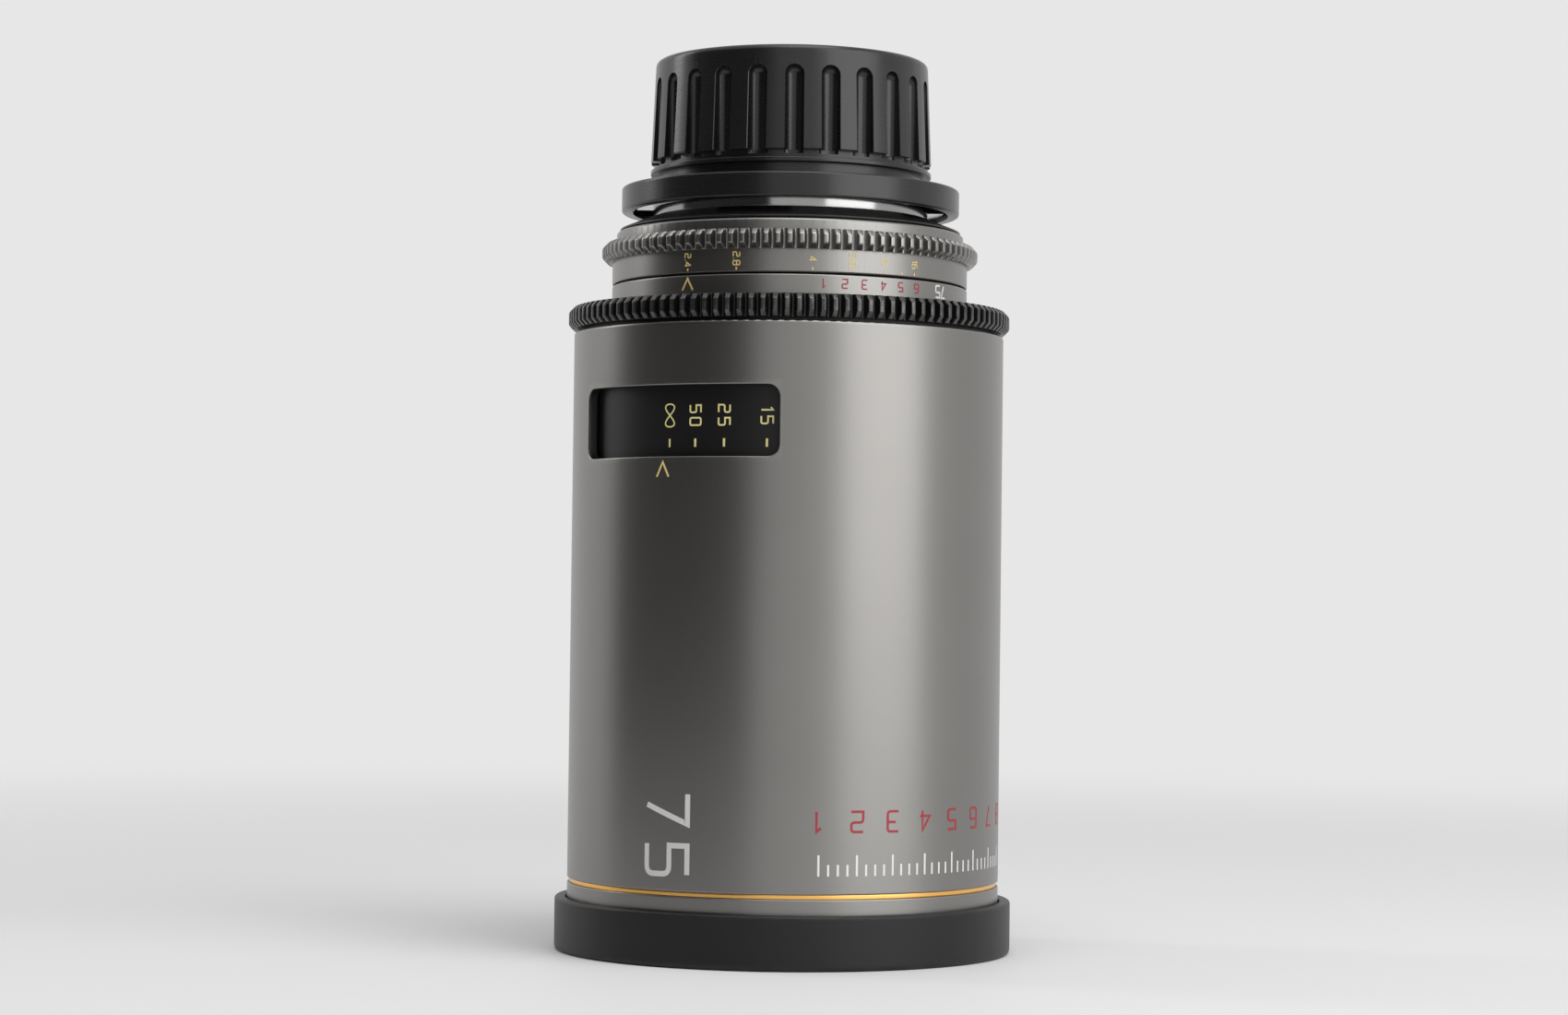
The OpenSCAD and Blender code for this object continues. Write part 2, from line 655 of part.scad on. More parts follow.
module cam_followers() color(brass) for (i = [0:2]) rotate([0, 0, i * 120])
    translate([0, 0, z_follower]) rotate([0, 90, 0]) {
        translate([0, 0, follower_foot_r])
            cylinder(d = follower_pin_d, h = focus_cell_r + run_fit - follower_foot_r, $fn = 48);
        translate([0, 0, focus_cell_r])
            cylinder(d = follower_d, h = cam_r - free_gap - focus_cell_r, $fn = 48);
    }

module index_ring() color(titanium)
    turned([[housing_r + slip, z_tube_end], [iris_band_r, z_tube_end], [iris_band_r, z_index_end - fine_edge],
        [iris_band_r - fine_edge, z_index_end], [housing_r + slip, z_index_end]]);

module rear_housing() color(black) difference() {
    turned([[chamber_r, z_tube_end], [housing_r, z_tube_end], [housing_r, z_collar],
        [rear_flange_r + slip, z_collar],
        [rear_flange_r + slip, z_rear_flange], [rear_stop_r, z_rear_flange],
        [rear_stop_r, z_chamber_end], [chamber_r, z_chamber_end]]);
    rotate([0, 0, drive_az - iris_throw - drive_over]) rotate_extrude(angle = iris_throw + 2 * drive_over)
        translate([chamber_r - 1, z_drive - drive_pin_d / 2 - free_gap])
            square([housing_wall + 2, drive_pin_d + 2 * free_gap]);
    screw_circle(6, housing_screw_r, z_tube_end + housing_bite + edge, screw_d + 2 * slip,
        housing_bite + edge + 1);
    screw_circle(6, screw_r, z_collar + 1, screw_d + 2 * slip, mount_bite + edge + 1, 30);
}

module housing_screws() color(steel) {
    screw_circle(6, housing_screw_r, z_tube_end + housing_bite, screw_d, housing_bite + rear_wall - head_h);
    screw_circle(6, housing_screw_r, z_tube_end - rear_wall + head_h, housing_head_d, head_h);
}

module iris_ring() color(titanium) difference() {
    union() {
        turned([[iris_bore_r, z_iris], [iris_band_r - fine_edge, z_iris], [iris_band_r, z_iris + fine_edge],
            [iris_band_r, z_iris_rim], [iris_rim_r, z_iris_rim], [iris_rim_r, z_iris_end - edge],
            [iris_rim_r - edge, z_iris_end], [iris_bore_r, z_iris_end]]);
        difference() {
            toothed(iris_teeth, z_iris_gear, z_iris_rim);
            translate([0, 0, z_iris_gear - 1]) cylinder(r = iris_bore_r + 1, h = iris_gear_w + 2);
        }
    }
    rotate([0, 0, drive_az]) translate([iris_bore_r - 1, 0, z_drive]) rotate([0, 90, 0])
        cylinder(d = drive_pin_d, h = iris_wall + 0.4, $fn = 32);
}

module iris_drive_pin() color(steel) rotate([0, 0, drive_az])
    translate([cam_ring_r - 1.5, 0, z_drive]) rotate([0, 90, 0])
        cylinder(d = drive_pin_d - 2 * slip, h = iris_band_r - 0.7 - cam_ring_r + 1.5, $fn = 32);

// position of a blade's drive pin and its path in the turning cam ring
function tail(turn) = [pivot_r + tail_len * cos(tail_az + turn), tail_len * sin(tail_az + turn)];
function in_ring(phi) = let (p = tail(blade_ratio * phi)) [p[0] * cos(phi) - p[1] * sin(phi),
    p[0] * sin(phi) + p[1] * cos(phi)];
function beside(phi, w) = let (a = in_ring(phi - 0.5), b = in_ring(phi + 0.5), c = in_ring(phi),
    d = [b[0] - a[0], b[1] - a[1]], l = norm(d)) [c[0] - w * d[1] / l, c[1] + w * d[0] / l];
slot_phis = [for (k = [0:26]) -2.4 + (iris_throw + 4.8) * k / 26];
slot_w = tail_pin_d / 2 + 0.15;

module iris_cam_ring() color(brass) difference() {
    turned([[iris_open_r + 0.8, z_cam_ring], [cam_ring_r, z_cam_ring],
        [cam_ring_r, z_cam_rim], [cam_ring_r - 1.7, z_cam_rim], [cam_ring_r - 1.7, z_cam_ring + cam_ring_t],
        [iris_open_r + 0.8, z_cam_ring + cam_ring_t]]);
    for (i = [0:blades - 1]) rotate([0, 0, i * 360 / blades]) translate([0, 0, z_cam_ring - 1])
        linear_extrude(cam_ring_t + 1.5) polygon(concat([for (phi = slot_phis) beside(phi, -slot_w)],
            [for (k = [26:-1:0]) beside(slot_phis[k], slot_w)]));
    rotate([0, 0, drive_az]) translate([cam_ring_r - 1.6, 0, z_drive]) rotate([0, 90, 0])
        cylinder(d = drive_pin_d, h = 3, $fn = 32);
}

module iris_retaining_ring() color(black)
    ring(chamber_r - slip, chamber_r - 5, z_cam_ring - free_gap - 1.5, z_cam_ring - free_gap);

module iris_base_plate() color(black) difference() {
    ring(chamber_r - slip, iris_open_r + 0.5, z_base, z_chamber_end);
    for (i = [0:blades - 1]) rotate([0, 0, i * 360 / blades]) translate([pivot_r, 0, z_base - 1])
        cylinder(d = pivot_pin_d + 2 * run_fit, h = base_t + 2, $fn = 32);
}

// one blade on its own level, drawn wide open
module blade(i) color(black) rotate([0, 0, (i - 1) * 360 / blades]) {
    z = z_blades + (i - 1) * blade_pitch;
    translate([0, 0, z]) linear_extrude(blade_t) union() {
        intersection() {
            difference() {
                circle(band_r);
                circle(iris_open_r);
            }
            polygon([[0, 0], for (a = [-12:28.4:130]) 40 * [cos(a), sin(a)]]);
        }
        translate([pivot_r, 0]) circle(1.7, $fn = 48);
        translate([band_r - 2, -1.5]) square([pivot_r - band_r + 2, 3]);
        translate([pivot_r, 0]) rotate(tail_az) translate([0, -1]) square([tail_len, 2]);
        translate(tail(0)) circle(1.1, $fn = 48);
    }
    translate([pivot_r, 0, z + blade_t / 2])
        cylinder(d = pivot_pin_d, h = z_base + base_t - 0.2 - z, $fn = 32);
    translate([tail(0)[0], tail(0)[1], z_cam_ring + 0.2])
        cylinder(d = tail_pin_d, h = z + blade_t / 2 - z_cam_ring - 0.2, $fn = 32);
}

module rear_cell() color(black)
    turned([[rear_bore_r, z_rear_flange - 1.5], [rear_cell_r, z_rear_flange - 1.5],
        [rear_cell_r, z_rear_flange],
        [rear_flange_r, z_rear_flange], [rear_flange_r, z_collar - 0.1], [rear_cell_r, z_collar - 0.1],
        [rear_cell_r, z_rear_cell_end - 0.6], [rear_cell_r - 0.6, z_rear_cell_end],
        [rear_bore_r, z_rear_cell_end], [rear_bore_r, z_rear_lens], [rear_seat_r, z_rear_lens],
        [rear_seat_r, z_rear_flange + 0.5], [rear_bore_r, z_rear_flange]]);

module rear_front_element() color(glass) {
    translate([0, 0, z_rear_lens]) cylinder(r = rear_lens_r, h = rear_front_t);
    bulge(rear_rim_r, rear_front_radius, z_rear_lens, -1);
    bulge(rear_rim_r, rear_middle_radius, z_rear_spacer, 1);
}

module rear_spacer() color(black)
    ring(rear_lens_r, rear_seat_r, z_rear_spacer, z_rear_back);

module rear_back_element() color(glass) {
    translate([0, 0, z_rear_back]) cylinder(r = rear_lens_r, h = rear_back_t);
    bulge(rear_rim_r, rear_back_radius, z_rear_ring, 1);
}

module rear_retaining_ring() color(black)
    ring(rear_lens_r, rear_seat_r, z_rear_ring, z_rear_ring + 1.2 * lens_seat);

module rear_collar() color(black) difference() {
    turned([[rear_cell_r + slip, z_collar], [collar_r, z_collar], [collar_r, z_collar + edge],
        [neck_r + edge, z_shim], [rear_cell_r + slip, z_shim]]);
    screw_circle(6, screw_r, z_shim + 1, screw_d + 2 * slip, collar_h + 2, 30);
}

module mount_shim() color(brass) difference() {
    ring(neck_r - edge, rear_cell_r + edge, z_shim, z_neck);
    screw_circle(6, screw_r, z_neck + 1, screw_d + 2 * slip, shim_t + 2, 30);
}

module lens_mount() color(steel) difference() {
    turned([[rear_cell_r + slip, z_neck], [neck_r - neck_draft, z_neck], [neck_r, z_tabs],
        [tab_r - edge, z_tabs], [tab_r, z_tabs + edge], [tab_r, z_seat - edge], [tab_r - edge, z_seat],
        [spigot_r, z_seat], [spigot_r, z_spigot - edge], [spigot_r - edge, z_spigot],
        [rear_cell_r + slip, z_spigot]]);
    for (i = [0:3]) rotate([0, 0, i * 90]) rotate_extrude(angle = tab_gap)
        translate([neck_r, z_tabs - 1]) square([tab_r, tab_t + 2]);
    rotate([0, 0, notch_az]) translate([tab_r - notch_depth, -notch_w / 2, z_tabs - 1])
        cube([tab_r, notch_w, tab_t + 2]);
    screw_circle(6, screw_r, z_seat + 1, screw_d + 2 * slip, tab_t + neck_h + 2, 30);
    screw_circle(6, screw_r, z_seat + 1, mount_head_d + 2 * slip, head_h + 1, 30);
}

// socket screw with its head just below the mount's seat
module mount_screw() difference() {
    union() {
        translate([0, 0, z_collar - mount_bite])
            cylinder(d = screw_d, h = z_seat - head_h - z_collar + mount_bite, $fn = 32);
        translate([0, 0, z_seat - head_h]) cylinder(d = mount_head_d, h = head_h - 0.1, $fn = 32);
    }
    translate([0, 0, z_seat - head_h / 2]) cylinder(d = mount_head_d / 2, h = head_h, $fn = 6);
}

module mount_screws() color(steel) for (i = [0:5])
    rotate([0, 0, 30 + i * 60]) translate([screw_r, 0, 0]) mount_screw();

// flute cutter: a trough with a round floor, closed above by a round arch
module flute() intersection() {
    translate([0, 0, z_flute]) linear_extrude(z_flute_end + 1 - z_flute)
        polygon(concat([for (a = [-90:15:90]) [grip_top_r - flute_depth * cos(a), flute_w / 2 * sin(a)]],
            [[grip_r + 1, flute_w / 2], [grip_r + 1, -flute_w / 2]]));
    translate([hollow_r, 0, 0]) rotate([90, 0, 90]) linear_extrude(grip_r + 2 - hollow_r)
        polygon(concat([[-flute_w, z_flute - 1], [flute_w, z_flute - 1], [flute_w, z_flute_arch]],
            [for (a = [0:15:180]) [(flute_w / 2 + 0.02) * cos(a), z_flute_arch + flute_w / 2 * sin(a)]],
            [[-flute_w, z_flute_arch]]));
}

module rear_cap() color(black) difference() {
    turned(concat([[skirt_bore_r, z_skirt], [skirt_r - edge, z_skirt], [skirt_r, z_skirt + edge],
        [skirt_r, z_skirt_end - edge], [skirt_r - edge, z_skirt_end], [lip_recess_r, z_skirt_end],
        [lip_recess_r, z_cap_lip], [grip_r, z_cap_lip], [grip_r, z_cap_lip_end - fine_edge],
        [grip_r - fine_edge, z_cap_lip_end], [lip_recess_r, z_cap_lip_end], [lip_recess_r, z_grip],
        [grip_r, z_grip]],
        rounded(grip_top_r, z_top, cap_top_edge),
        [[0, z_top], [0, z_hollow_end], [hollow_r, z_hollow_end], [hollow_r, z_socket_end],
        [socket_r, z_socket_end], [socket_r, z_seat], [skirt_bore_r, z_seat]]));
    for (i = [0:flutes - 1]) rotate([0, 0, index_az + flute_phase + i * 360 / flutes]) flute();
}

front_cap();
front_bezel();
accent_ring();
outer_sleeve();
main_barrel();
front_cell();
front_element();
front_retaining_ring();
middle_element();
middle_retaining_ring();
focus_ring();
scale_drum();
cam_sleeve();
drum_screws();
focus_retaining_ring();
focus_cell();
focus_front_element();
focus_spacer();
focus_crown_element();
focus_flint_element();
focus_cell_ring();
cam_followers();
index_ring();
rear_housing();
housing_screws();
iris_ring();
iris_drive_pin();
iris_cam_ring();
iris_retaining_ring();
iris_base_plate();
blade(1);  // iris_blade_1
blade(2);  // iris_blade_2
blade(3);  // iris_blade_3
blade(4);  // iris_blade_4
blade(5);  // iris_blade_5
blade(6);  // iris_blade_6
blade(7);  // iris_blade_7
blade(8);  // iris_blade_8
rear_cell();
rear_front_element();
rear_spacer();
rear_back_element();
rear_retaining_ring();
rear_collar();
mount_shim();
lens_mount();
mount_screws();
rear_cap();
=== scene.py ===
import math

import bpy
from mathutils import Matrix, Vector


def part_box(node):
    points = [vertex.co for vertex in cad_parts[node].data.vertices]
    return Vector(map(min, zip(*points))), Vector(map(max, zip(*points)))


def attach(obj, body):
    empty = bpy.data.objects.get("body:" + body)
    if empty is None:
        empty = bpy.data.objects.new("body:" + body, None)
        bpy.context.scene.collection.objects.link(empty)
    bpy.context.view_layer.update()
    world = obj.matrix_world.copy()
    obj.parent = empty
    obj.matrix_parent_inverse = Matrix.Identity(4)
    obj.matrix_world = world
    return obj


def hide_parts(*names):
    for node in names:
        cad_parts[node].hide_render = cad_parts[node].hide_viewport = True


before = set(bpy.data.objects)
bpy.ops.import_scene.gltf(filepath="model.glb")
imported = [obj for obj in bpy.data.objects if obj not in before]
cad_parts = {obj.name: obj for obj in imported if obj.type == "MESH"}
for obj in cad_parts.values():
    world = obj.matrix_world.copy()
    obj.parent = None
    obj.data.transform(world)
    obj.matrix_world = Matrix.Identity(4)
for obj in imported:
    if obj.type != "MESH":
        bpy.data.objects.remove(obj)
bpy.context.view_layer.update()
MM = 0.001
TAU = 2 * math.pi


def levels(node):
    """Lowest and highest level of a CAD node, in millimetres."""
    low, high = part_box(node)
    return round(low.z / MM, 3), round(high.z / MM, 3)


# levels from the frame, in millimetres along the axis from the front cap's underside
CAP_LOW, CAP_HIGH = levels("front_cap")
BEZEL_LOW, BEZEL_HIGH = levels("front_bezel")
GOLD_LOW, GOLD_HIGH = levels("accent_ring")
SLEEVE_LOW, SLEEVE_HIGH = levels("outer_sleeve")
FOCUS_LOW, FOCUS_HIGH = levels("focus_ring")
INDEX_LOW, INDEX_HIGH = levels("index_ring")
IRIS_LOW, IRIS_HIGH = levels("iris_ring")
COLLAR_LOW, COLLAR_HIGH = levels("rear_collar")
REAR_LOW, REAR_HIGH = levels("rear_cap")
SPIGOT_HIGH = levels("lens_mount")[1]
SCREW_SUNK = 0.1
SEAT = levels("mount_screws")[1] + SCREW_SUNK

# driving radii, in millimetres
SLEEVE_R = 47.5
SLEEVE_BORE = 45.5
DRUM_R = 45.1
FRONT_BORE = 44.5
BAND_R = 39.3
HOUSING_R = 36.2


# materials: scales are in features per metre, a grain is its scale and its stretch per axis

EVEN = (1, 1, 1)
TURNED = (160, (0.25, 0.25, 60))
BLAST = (5200, EVEN)
MOULDED = (3800, EVEN)
ROLLED = (2600, EVEN)
RIDGED = (1600, (0.2, 0.2, 3))
PRINTED = (9000, EVEN)
RELIEF = 0.00002
DRIFT_SCALE, DRIFT_DETAIL = 38, 5
GRAIN_DETAIL = 2
NOISE_LOW, NOISE_HIGH = 0.25, 0.75
RUB_SCALE, RUB_DETAIL = 420, 5
RUB_LOW, RUB_HIGH, LEAST_RUB = 0.40, 0.70, 0.35


def sockets(material):
    tree = material.node_tree
    return tree.nodes, tree.links, tree.nodes["Principled BSDF"]


def add(tree_nodes, kind, **values):
    item = tree_nodes.new(kind)
    for key, value in values.items():
        setattr(item, key, value)
    return item


def noise(tree_nodes, links, place, scale, stretch, detail):
    """Noise on the part's own coordinates, stretched per axis."""
    mapping = add(tree_nodes, "ShaderNodeMapping")
    mapping.inputs["Scale"].default_value = stretch
    links.new(place.outputs["Object"], mapping.inputs["Vector"])
    texture = add(tree_nodes, "ShaderNodeTexNoise")
    texture.inputs["Scale"].default_value = scale
    texture.inputs["Detail"].default_value = detail
    links.new(mapping.outputs["Vector"], texture.inputs["Vector"])
    return texture.outputs["Fac"]


def remap(tree_nodes, links, value, low, high, to_low, to_high):
    item = add(tree_nodes, "ShaderNodeMapRange")
    for key, number in (("From Min", low), ("From Max", high), ("To Min", to_low), ("To Max", to_high)):
        item.inputs[key].default_value = number
    links.new(value, item.inputs["Value"])
    return item.outputs["Result"]


def blend(tree_nodes, links, factor, a, b):
    """Mix of two colours, each a tuple or the output of a node."""
    item = add(tree_nodes, "ShaderNodeMix", data_type="RGBA")
    links.new(factor, item.inputs["Factor"])
    for socket, value in ((item.inputs["A"], a), (item.inputs["B"], b)):
        if isinstance(value, tuple):
            socket.default_value = (*value, 1)
        else:
            links.new(value, socket)
    return item.outputs["Result"]


def multiply(tree_nodes, links, a, b):
    item = add(tree_nodes, "ShaderNodeMath", operation="MULTIPLY")
    links.new(a, item.inputs[0])
    links.new(b, item.inputs[1])
    return item.outputs["Value"]


def finish(name, dark, light, metallic, rough, grain, bump, worn=None, wear=0.0, specular=0.5,
           depth=RELIEF):
    """Metal or plastic with drifting tone, grain in the relief and gloss, and bare or rubbed edges; on the
    rear cap's flute rims the lighter edge colour is also a painted highlight.
    """
    material = bpy.data.materials.new(name)
    material.use_nodes = True
    n, links, shader = sockets(material)
    shader.inputs["Metallic"].default_value = metallic
    shader.inputs["Specular IOR Level"].default_value = specular
    place = add(n, "ShaderNodeTexCoord")
    drift = noise(n, links, place, DRIFT_SCALE, EVEN, DRIFT_DETAIL)
    drift = remap(n, links, drift, NOISE_LOW, NOISE_HIGH, 0, 1)
    fine = noise(n, links, place, *grain, GRAIN_DETAIL)
    colour = blend(n, links, drift, dark, light)
    gloss = remap(n, links, fine, NOISE_LOW, NOISE_HIGH, *rough)
    if worn:
        edge = add(n, "ShaderNodeAttribute", attribute_name="edge").outputs["Fac"]
        rub = noise(n, links, place, RUB_SCALE, EVEN, RUB_DETAIL)
        rub = remap(n, links, rub, RUB_LOW, RUB_HIGH, LEAST_RUB * wear, wear)
        colour = blend(n, links, multiply(n, links, edge, rub), colour, worn)
    links.new(colour, shader.inputs["Base Color"])
    links.new(gloss, shader.inputs["Roughness"])
    relief = add(n, "ShaderNodeBump")
    relief.inputs["Strength"].default_value = bump
    relief.inputs["Distance"].default_value = depth
    links.new(fine, relief.inputs["Height"])
    links.new(relief.outputs["Normal"], shader.inputs["Normal"])
    return material


titanium = finish("titanium_anodised", (0.238, 0.231, 0.221), (0.252, 0.245, 0.235), 1.0, (0.31, 0.37),
                  BLAST, bump=0.10, worn=(0.42, 0.41, 0.39), wear=0.30)
black = finish("black_anodised", (0.013, 0.013, 0.0135), (0.018, 0.018, 0.0185), 0.4, (0.30, 0.40),
               BLAST, bump=0.12, worn=(0.10, 0.10, 0.10), wear=0.35, specular=0.35)
gear_black = finish("gear_black", (0.016, 0.016, 0.0165), (0.024, 0.024, 0.0245), 0.7, (0.22, 0.32),
                    TURNED, bump=0.06, worn=(0.20, 0.20, 0.19), wear=0.5)
scale_black = finish("scale_black", (0.006, 0.006, 0.006), (0.009, 0.009, 0.009), 0.0, (0.34, 0.44),
                     BLAST, bump=0.15, specular=0.30)
plastic = finish("cap_plastic", (0.008, 0.008, 0.0084), (0.012, 0.012, 0.0125), 0.0, (0.40, 0.50),
                 MOULDED, bump=0.14, worn=(0.035, 0.035, 0.035), wear=0.4, specular=0.30)
# its worn colour lightens rubbed edges, and on the flute rims it is also a painted highlight
cap_satin = finish("cap_satin", (0.007, 0.007, 0.0073), (0.010, 0.010, 0.0104), 0.0, (0.24, 0.31),
                   TURNED, bump=0.04, worn=(0.03, 0.03, 0.03), wear=0.25)
gold = finish("accent_gold", (0.86, 0.47, 0.13), (0.92, 0.53, 0.16), 1.0, (0.26, 0.34),
              TURNED, bump=0.05)
# polished steel darkened below bare steel: painted shade standing for the dark surroundings the mount's
# neck reflects
steel = finish("polished_steel", (0.33, 0.325, 0.32), (0.38, 0.375, 0.37), 1.0, (0.10, 0.17),
               TURNED, bump=0.05)
screw = finish("screw_steel", (0.42, 0.42, 0.42), (0.52, 0.52, 0.52), 1.0, (0.22, 0.32),
               BLAST, bump=0.10)
blade_black = finish("blade_black", (0.020, 0.020, 0.021), (0.034, 0.034, 0.035), 0.6, (0.36, 0.48),
                     ROLLED, bump=0.10)
brass = finish("brass", (0.62, 0.45, 0.20), (0.70, 0.52, 0.25), 1.0, (0.22, 0.32),
               TURNED, bump=0.08)
baffle = finish("baffle_black", (0.008, 0.008, 0.008), (0.013, 0.013, 0.013), 0.0, (0.60, 0.75),
                RIDGED, bump=0.3, depth=2 * RELIEF)


def paint(name, dark, light):
    return finish(name, dark, light, 0.0, (0.42, 0.55), PRINTED, bump=0.08, depth=RELIEF / 2)


yellow_paint = paint("yellow_paint", (0.70, 0.60, 0.22), (0.80, 0.72, 0.34))
gold_paint = paint("gold_paint", (0.66, 0.50, 0.16), (0.76, 0.60, 0.24))
white_paint = paint("white_paint", (0.74, 0.73, 0.71), (0.84, 0.83, 0.81))
silver_paint = paint("silver_paint", (0.58, 0.58, 0.58), (0.68, 0.68, 0.68))
red_paint = paint("red_paint", (0.30, 0.018, 0.030), (0.38, 0.028, 0.042))

GLASS_COLOUR, GLASS_IOR = (0.93, 0.96, 0.97), 1.6
SMEAR_SCALE, SMEAR_DETAIL = 90, 4
SMEAR_LOW, SMEAR_HIGH, SMEAR_ROUGH = 0.35, 0.75, 0.03
COATING_BLEND, COATING_FACE, COATING_SLANT = 0.35, (0.55, 0.45, 0.90), (0.35, 0.80, 0.60)


def coated_glass():
    """Clear glass with faint smears and a coating whose tint changes with the slant."""
    material = bpy.data.materials.new("coated_glass")
    material.use_nodes = True
    n, links, shader = sockets(material)
    shader.inputs["Base Color"].default_value = (*GLASS_COLOUR, 1)
    shader.inputs["Transmission Weight"].default_value = 1.0
    shader.inputs["IOR"].default_value = GLASS_IOR
    place = add(n, "ShaderNodeTexCoord")
    smear = noise(n, links, place, SMEAR_SCALE, EVEN, SMEAR_DETAIL)
    links.new(remap(n, links, smear, SMEAR_LOW, SMEAR_HIGH, 0.0, SMEAR_ROUGH), shader.inputs["Roughness"])
    facing = add(n, "ShaderNodeLayerWeight")
    facing.inputs["Blend"].default_value = COATING_BLEND
    tint = blend(n, links, facing.outputs["Facing"], COATING_FACE, COATING_SLANT)
    links.new(tint, shader.inputs["Specular Tint"])
    return material


glass = coated_glass()


# meshes: angles past which an edge stays sharp, in degrees

SHARP, TOOTH_SHARP, CAP_SHARP, MARK_SHARP = 32, 40, 38, 50


def piece(name, points, faces, material, body, replaces=(), edge=None, angle=SHARP):
    """Object from points in millimetres, riding on a body. The edge weights, one a point, are for wear, and
    on the rear cap's flute rims also for a painted highlight.
    """
    mesh = bpy.data.meshes.new(name)
    mesh.from_pydata([(x * MM, y * MM, z * MM) for x, y, z in points], [], faces)
    mesh.validate()
    if edge is not None:
        layer = mesh.attributes.new("edge", "FLOAT", "POINT")
        layer.data.foreach_set("value", edge)
    for polygon in mesh.polygons:
        polygon.use_smooth = True
    mesh.set_sharp_from_angle(angle=math.radians(angle))
    mesh.materials.append(material)
    obj = bpy.data.objects.new(name, mesh)
    bpy.context.scene.collection.objects.link(obj)
    even = obj.modifiers.new("even_normals", "WEIGHTED_NORMAL")
    even.keep_sharp = True
    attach(obj, body)
    if replaces:
        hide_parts(*replaces)
    return obj


# a rounding takes at most a share of each side, and a guard point stands beside it where there is room
ROUND_STEPS = 4
SIDE_SHARE = 0.42
GUARD, GUARD_ROOM = 1.5, 3.2
ARC_END_WEIGHT = 0.6


def rounded(profile):
    """Closed outline of (radius, height, rounding) to points with a weight: 1 on a rounding, else 0."""
    out = []
    count = len(profile)
    for i in range(count):
        r, z, rad = profile[i]
        here = Vector((r, z))
        back = Vector(profile[i - 1][:2]) - here
        on = Vector(profile[(i + 1) % count][:2]) - here
        if rad <= 0:
            out.append((r, z, 0.0))
            continue
        half = back.angle(on) / 2
        reach = min(rad / math.tan(half), SIDE_SHARE * back.length, SIDE_SHARE * on.length)
        rad = reach * math.tan(half)
        a, b = here + back.normalized() * reach, here + on.normalized() * reach
        centre = here + (back.normalized() + on.normalized()).normalized() * (rad / math.sin(half))
        if back.length > GUARD_ROOM * reach:
            spot = here + back.normalized() * (GUARD * reach)
            out.append((spot.x, spot.y, 0.0))
        start, turn = a - centre, (a - centre).angle_signed(b - centre)
        for k in range(ROUND_STEPS + 1):
            spot = centre + Matrix.Rotation(-turn * k / ROUND_STEPS, 2) @ start
            out.append((spot.x, spot.y, ARC_END_WEIGHT if k in (0, ROUND_STEPS) else 1.0))
        if on.length > GUARD_ROOM * reach:
            spot = here + on.normalized() * (GUARD * reach)
            out.append((spot.x, spot.y, 0.0))
    return out


def at(radius, degrees, z):
    """Point at an angle from the index line, positive to the right."""
    a = math.radians(degrees)
    return (radius * math.sin(a), -radius * math.cos(a), z)


SEGMENTS = 256
ON_AXIS = 1e-6


def revolve(name, profile, material, body, replaces):
    """Turned piece: rounded closed outline swept round the axis. Points on the axis become one point."""
    points, edge, rings = [], [], []
    for r, z, e in rounded(profile):
        if r < ON_AXIS:
            rings.append([len(points)] * SEGMENTS)
            points.append((0, 0, z))
            edge.append(0.0)
        else:
            rings.append(list(range(len(points), len(points) + SEGMENTS)))
            points += [at(r, 360 * k / SEGMENTS, z) for k in range(SEGMENTS)]
            edge += [e] * SEGMENTS
    faces = []
    for i, low in enumerate(rings):
        high = rings[(i + 1) % len(rings)]
        for k in range(SEGMENTS):
            m = (k + 1) % SEGMENTS
            loop = []
            for v in (low[k], low[m], high[m], high[k]):
                if v not in loop:
                    loop.append(v)
            if len(loop) > 2:
                faces.append(loop)
    return piece(name, points, faces, material, body, replaces, edge)


def lattice(rows, columns):
    """Faces of a closed band of rows by a closed ring of columns."""
    faces = []
    for i in range(rows):
        j = (i + 1) % rows
        for k in range(columns):
            m = (k + 1) % columns
            faces.append((i * columns + k, i * columns + m, j * columns + m, j * columns + k))
    return faces


# front end

CAP_R, CAP_BORE = 50.2, 47.8
CAP_RECESS_R, CAP_RECESS = 43.0, 0.6
revolve("front_cap_shell", [
    (0, CAP_LOW + CAP_RECESS, 0), (CAP_RECESS_R, CAP_LOW + CAP_RECESS, 0.3),
    (CAP_RECESS_R + CAP_RECESS, CAP_LOW, 0.3), (CAP_R, CAP_LOW, 1.0),
    (CAP_R, CAP_HIGH, 0.6), (CAP_BORE, CAP_HIGH, 0.35), (CAP_BORE, BEZEL_LOW, 0.6), (0, BEZEL_LOW, 0)],
    plastic, "front_cap", ["front_cap"])

FILTER_R, FILTER_MOUTH, FILTER_DEPTH = 42.5, 0.4, 7.0
WEB_R, WEB_T = 39.55, 2.5
BEZEL_EDGE = 0.5
SHELF = BEZEL_LOW + FILTER_DEPTH
THREAD_TURNS, THREAD_START, THREAD_PITCH = 6, 0.7, 1.0
THREAD_DEPTH, THREAD_FLANK, THREAD_FLAT, THREAD_ROUND = 0.5, 0.35, 0.15, 0.05
thread = []
for i in range(THREAD_TURNS):
    z = SHELF - THREAD_START - i * THREAD_PITCH
    thread += [(FILTER_R, z, THREAD_ROUND),
               (FILTER_R + THREAD_DEPTH, z - THREAD_FLANK, THREAD_ROUND),
               (FILTER_R + THREAD_DEPTH, z - THREAD_FLANK - THREAD_FLAT, THREAD_ROUND),
               (FILTER_R, z - 2 * THREAD_FLANK - THREAD_FLAT, THREAD_ROUND)]
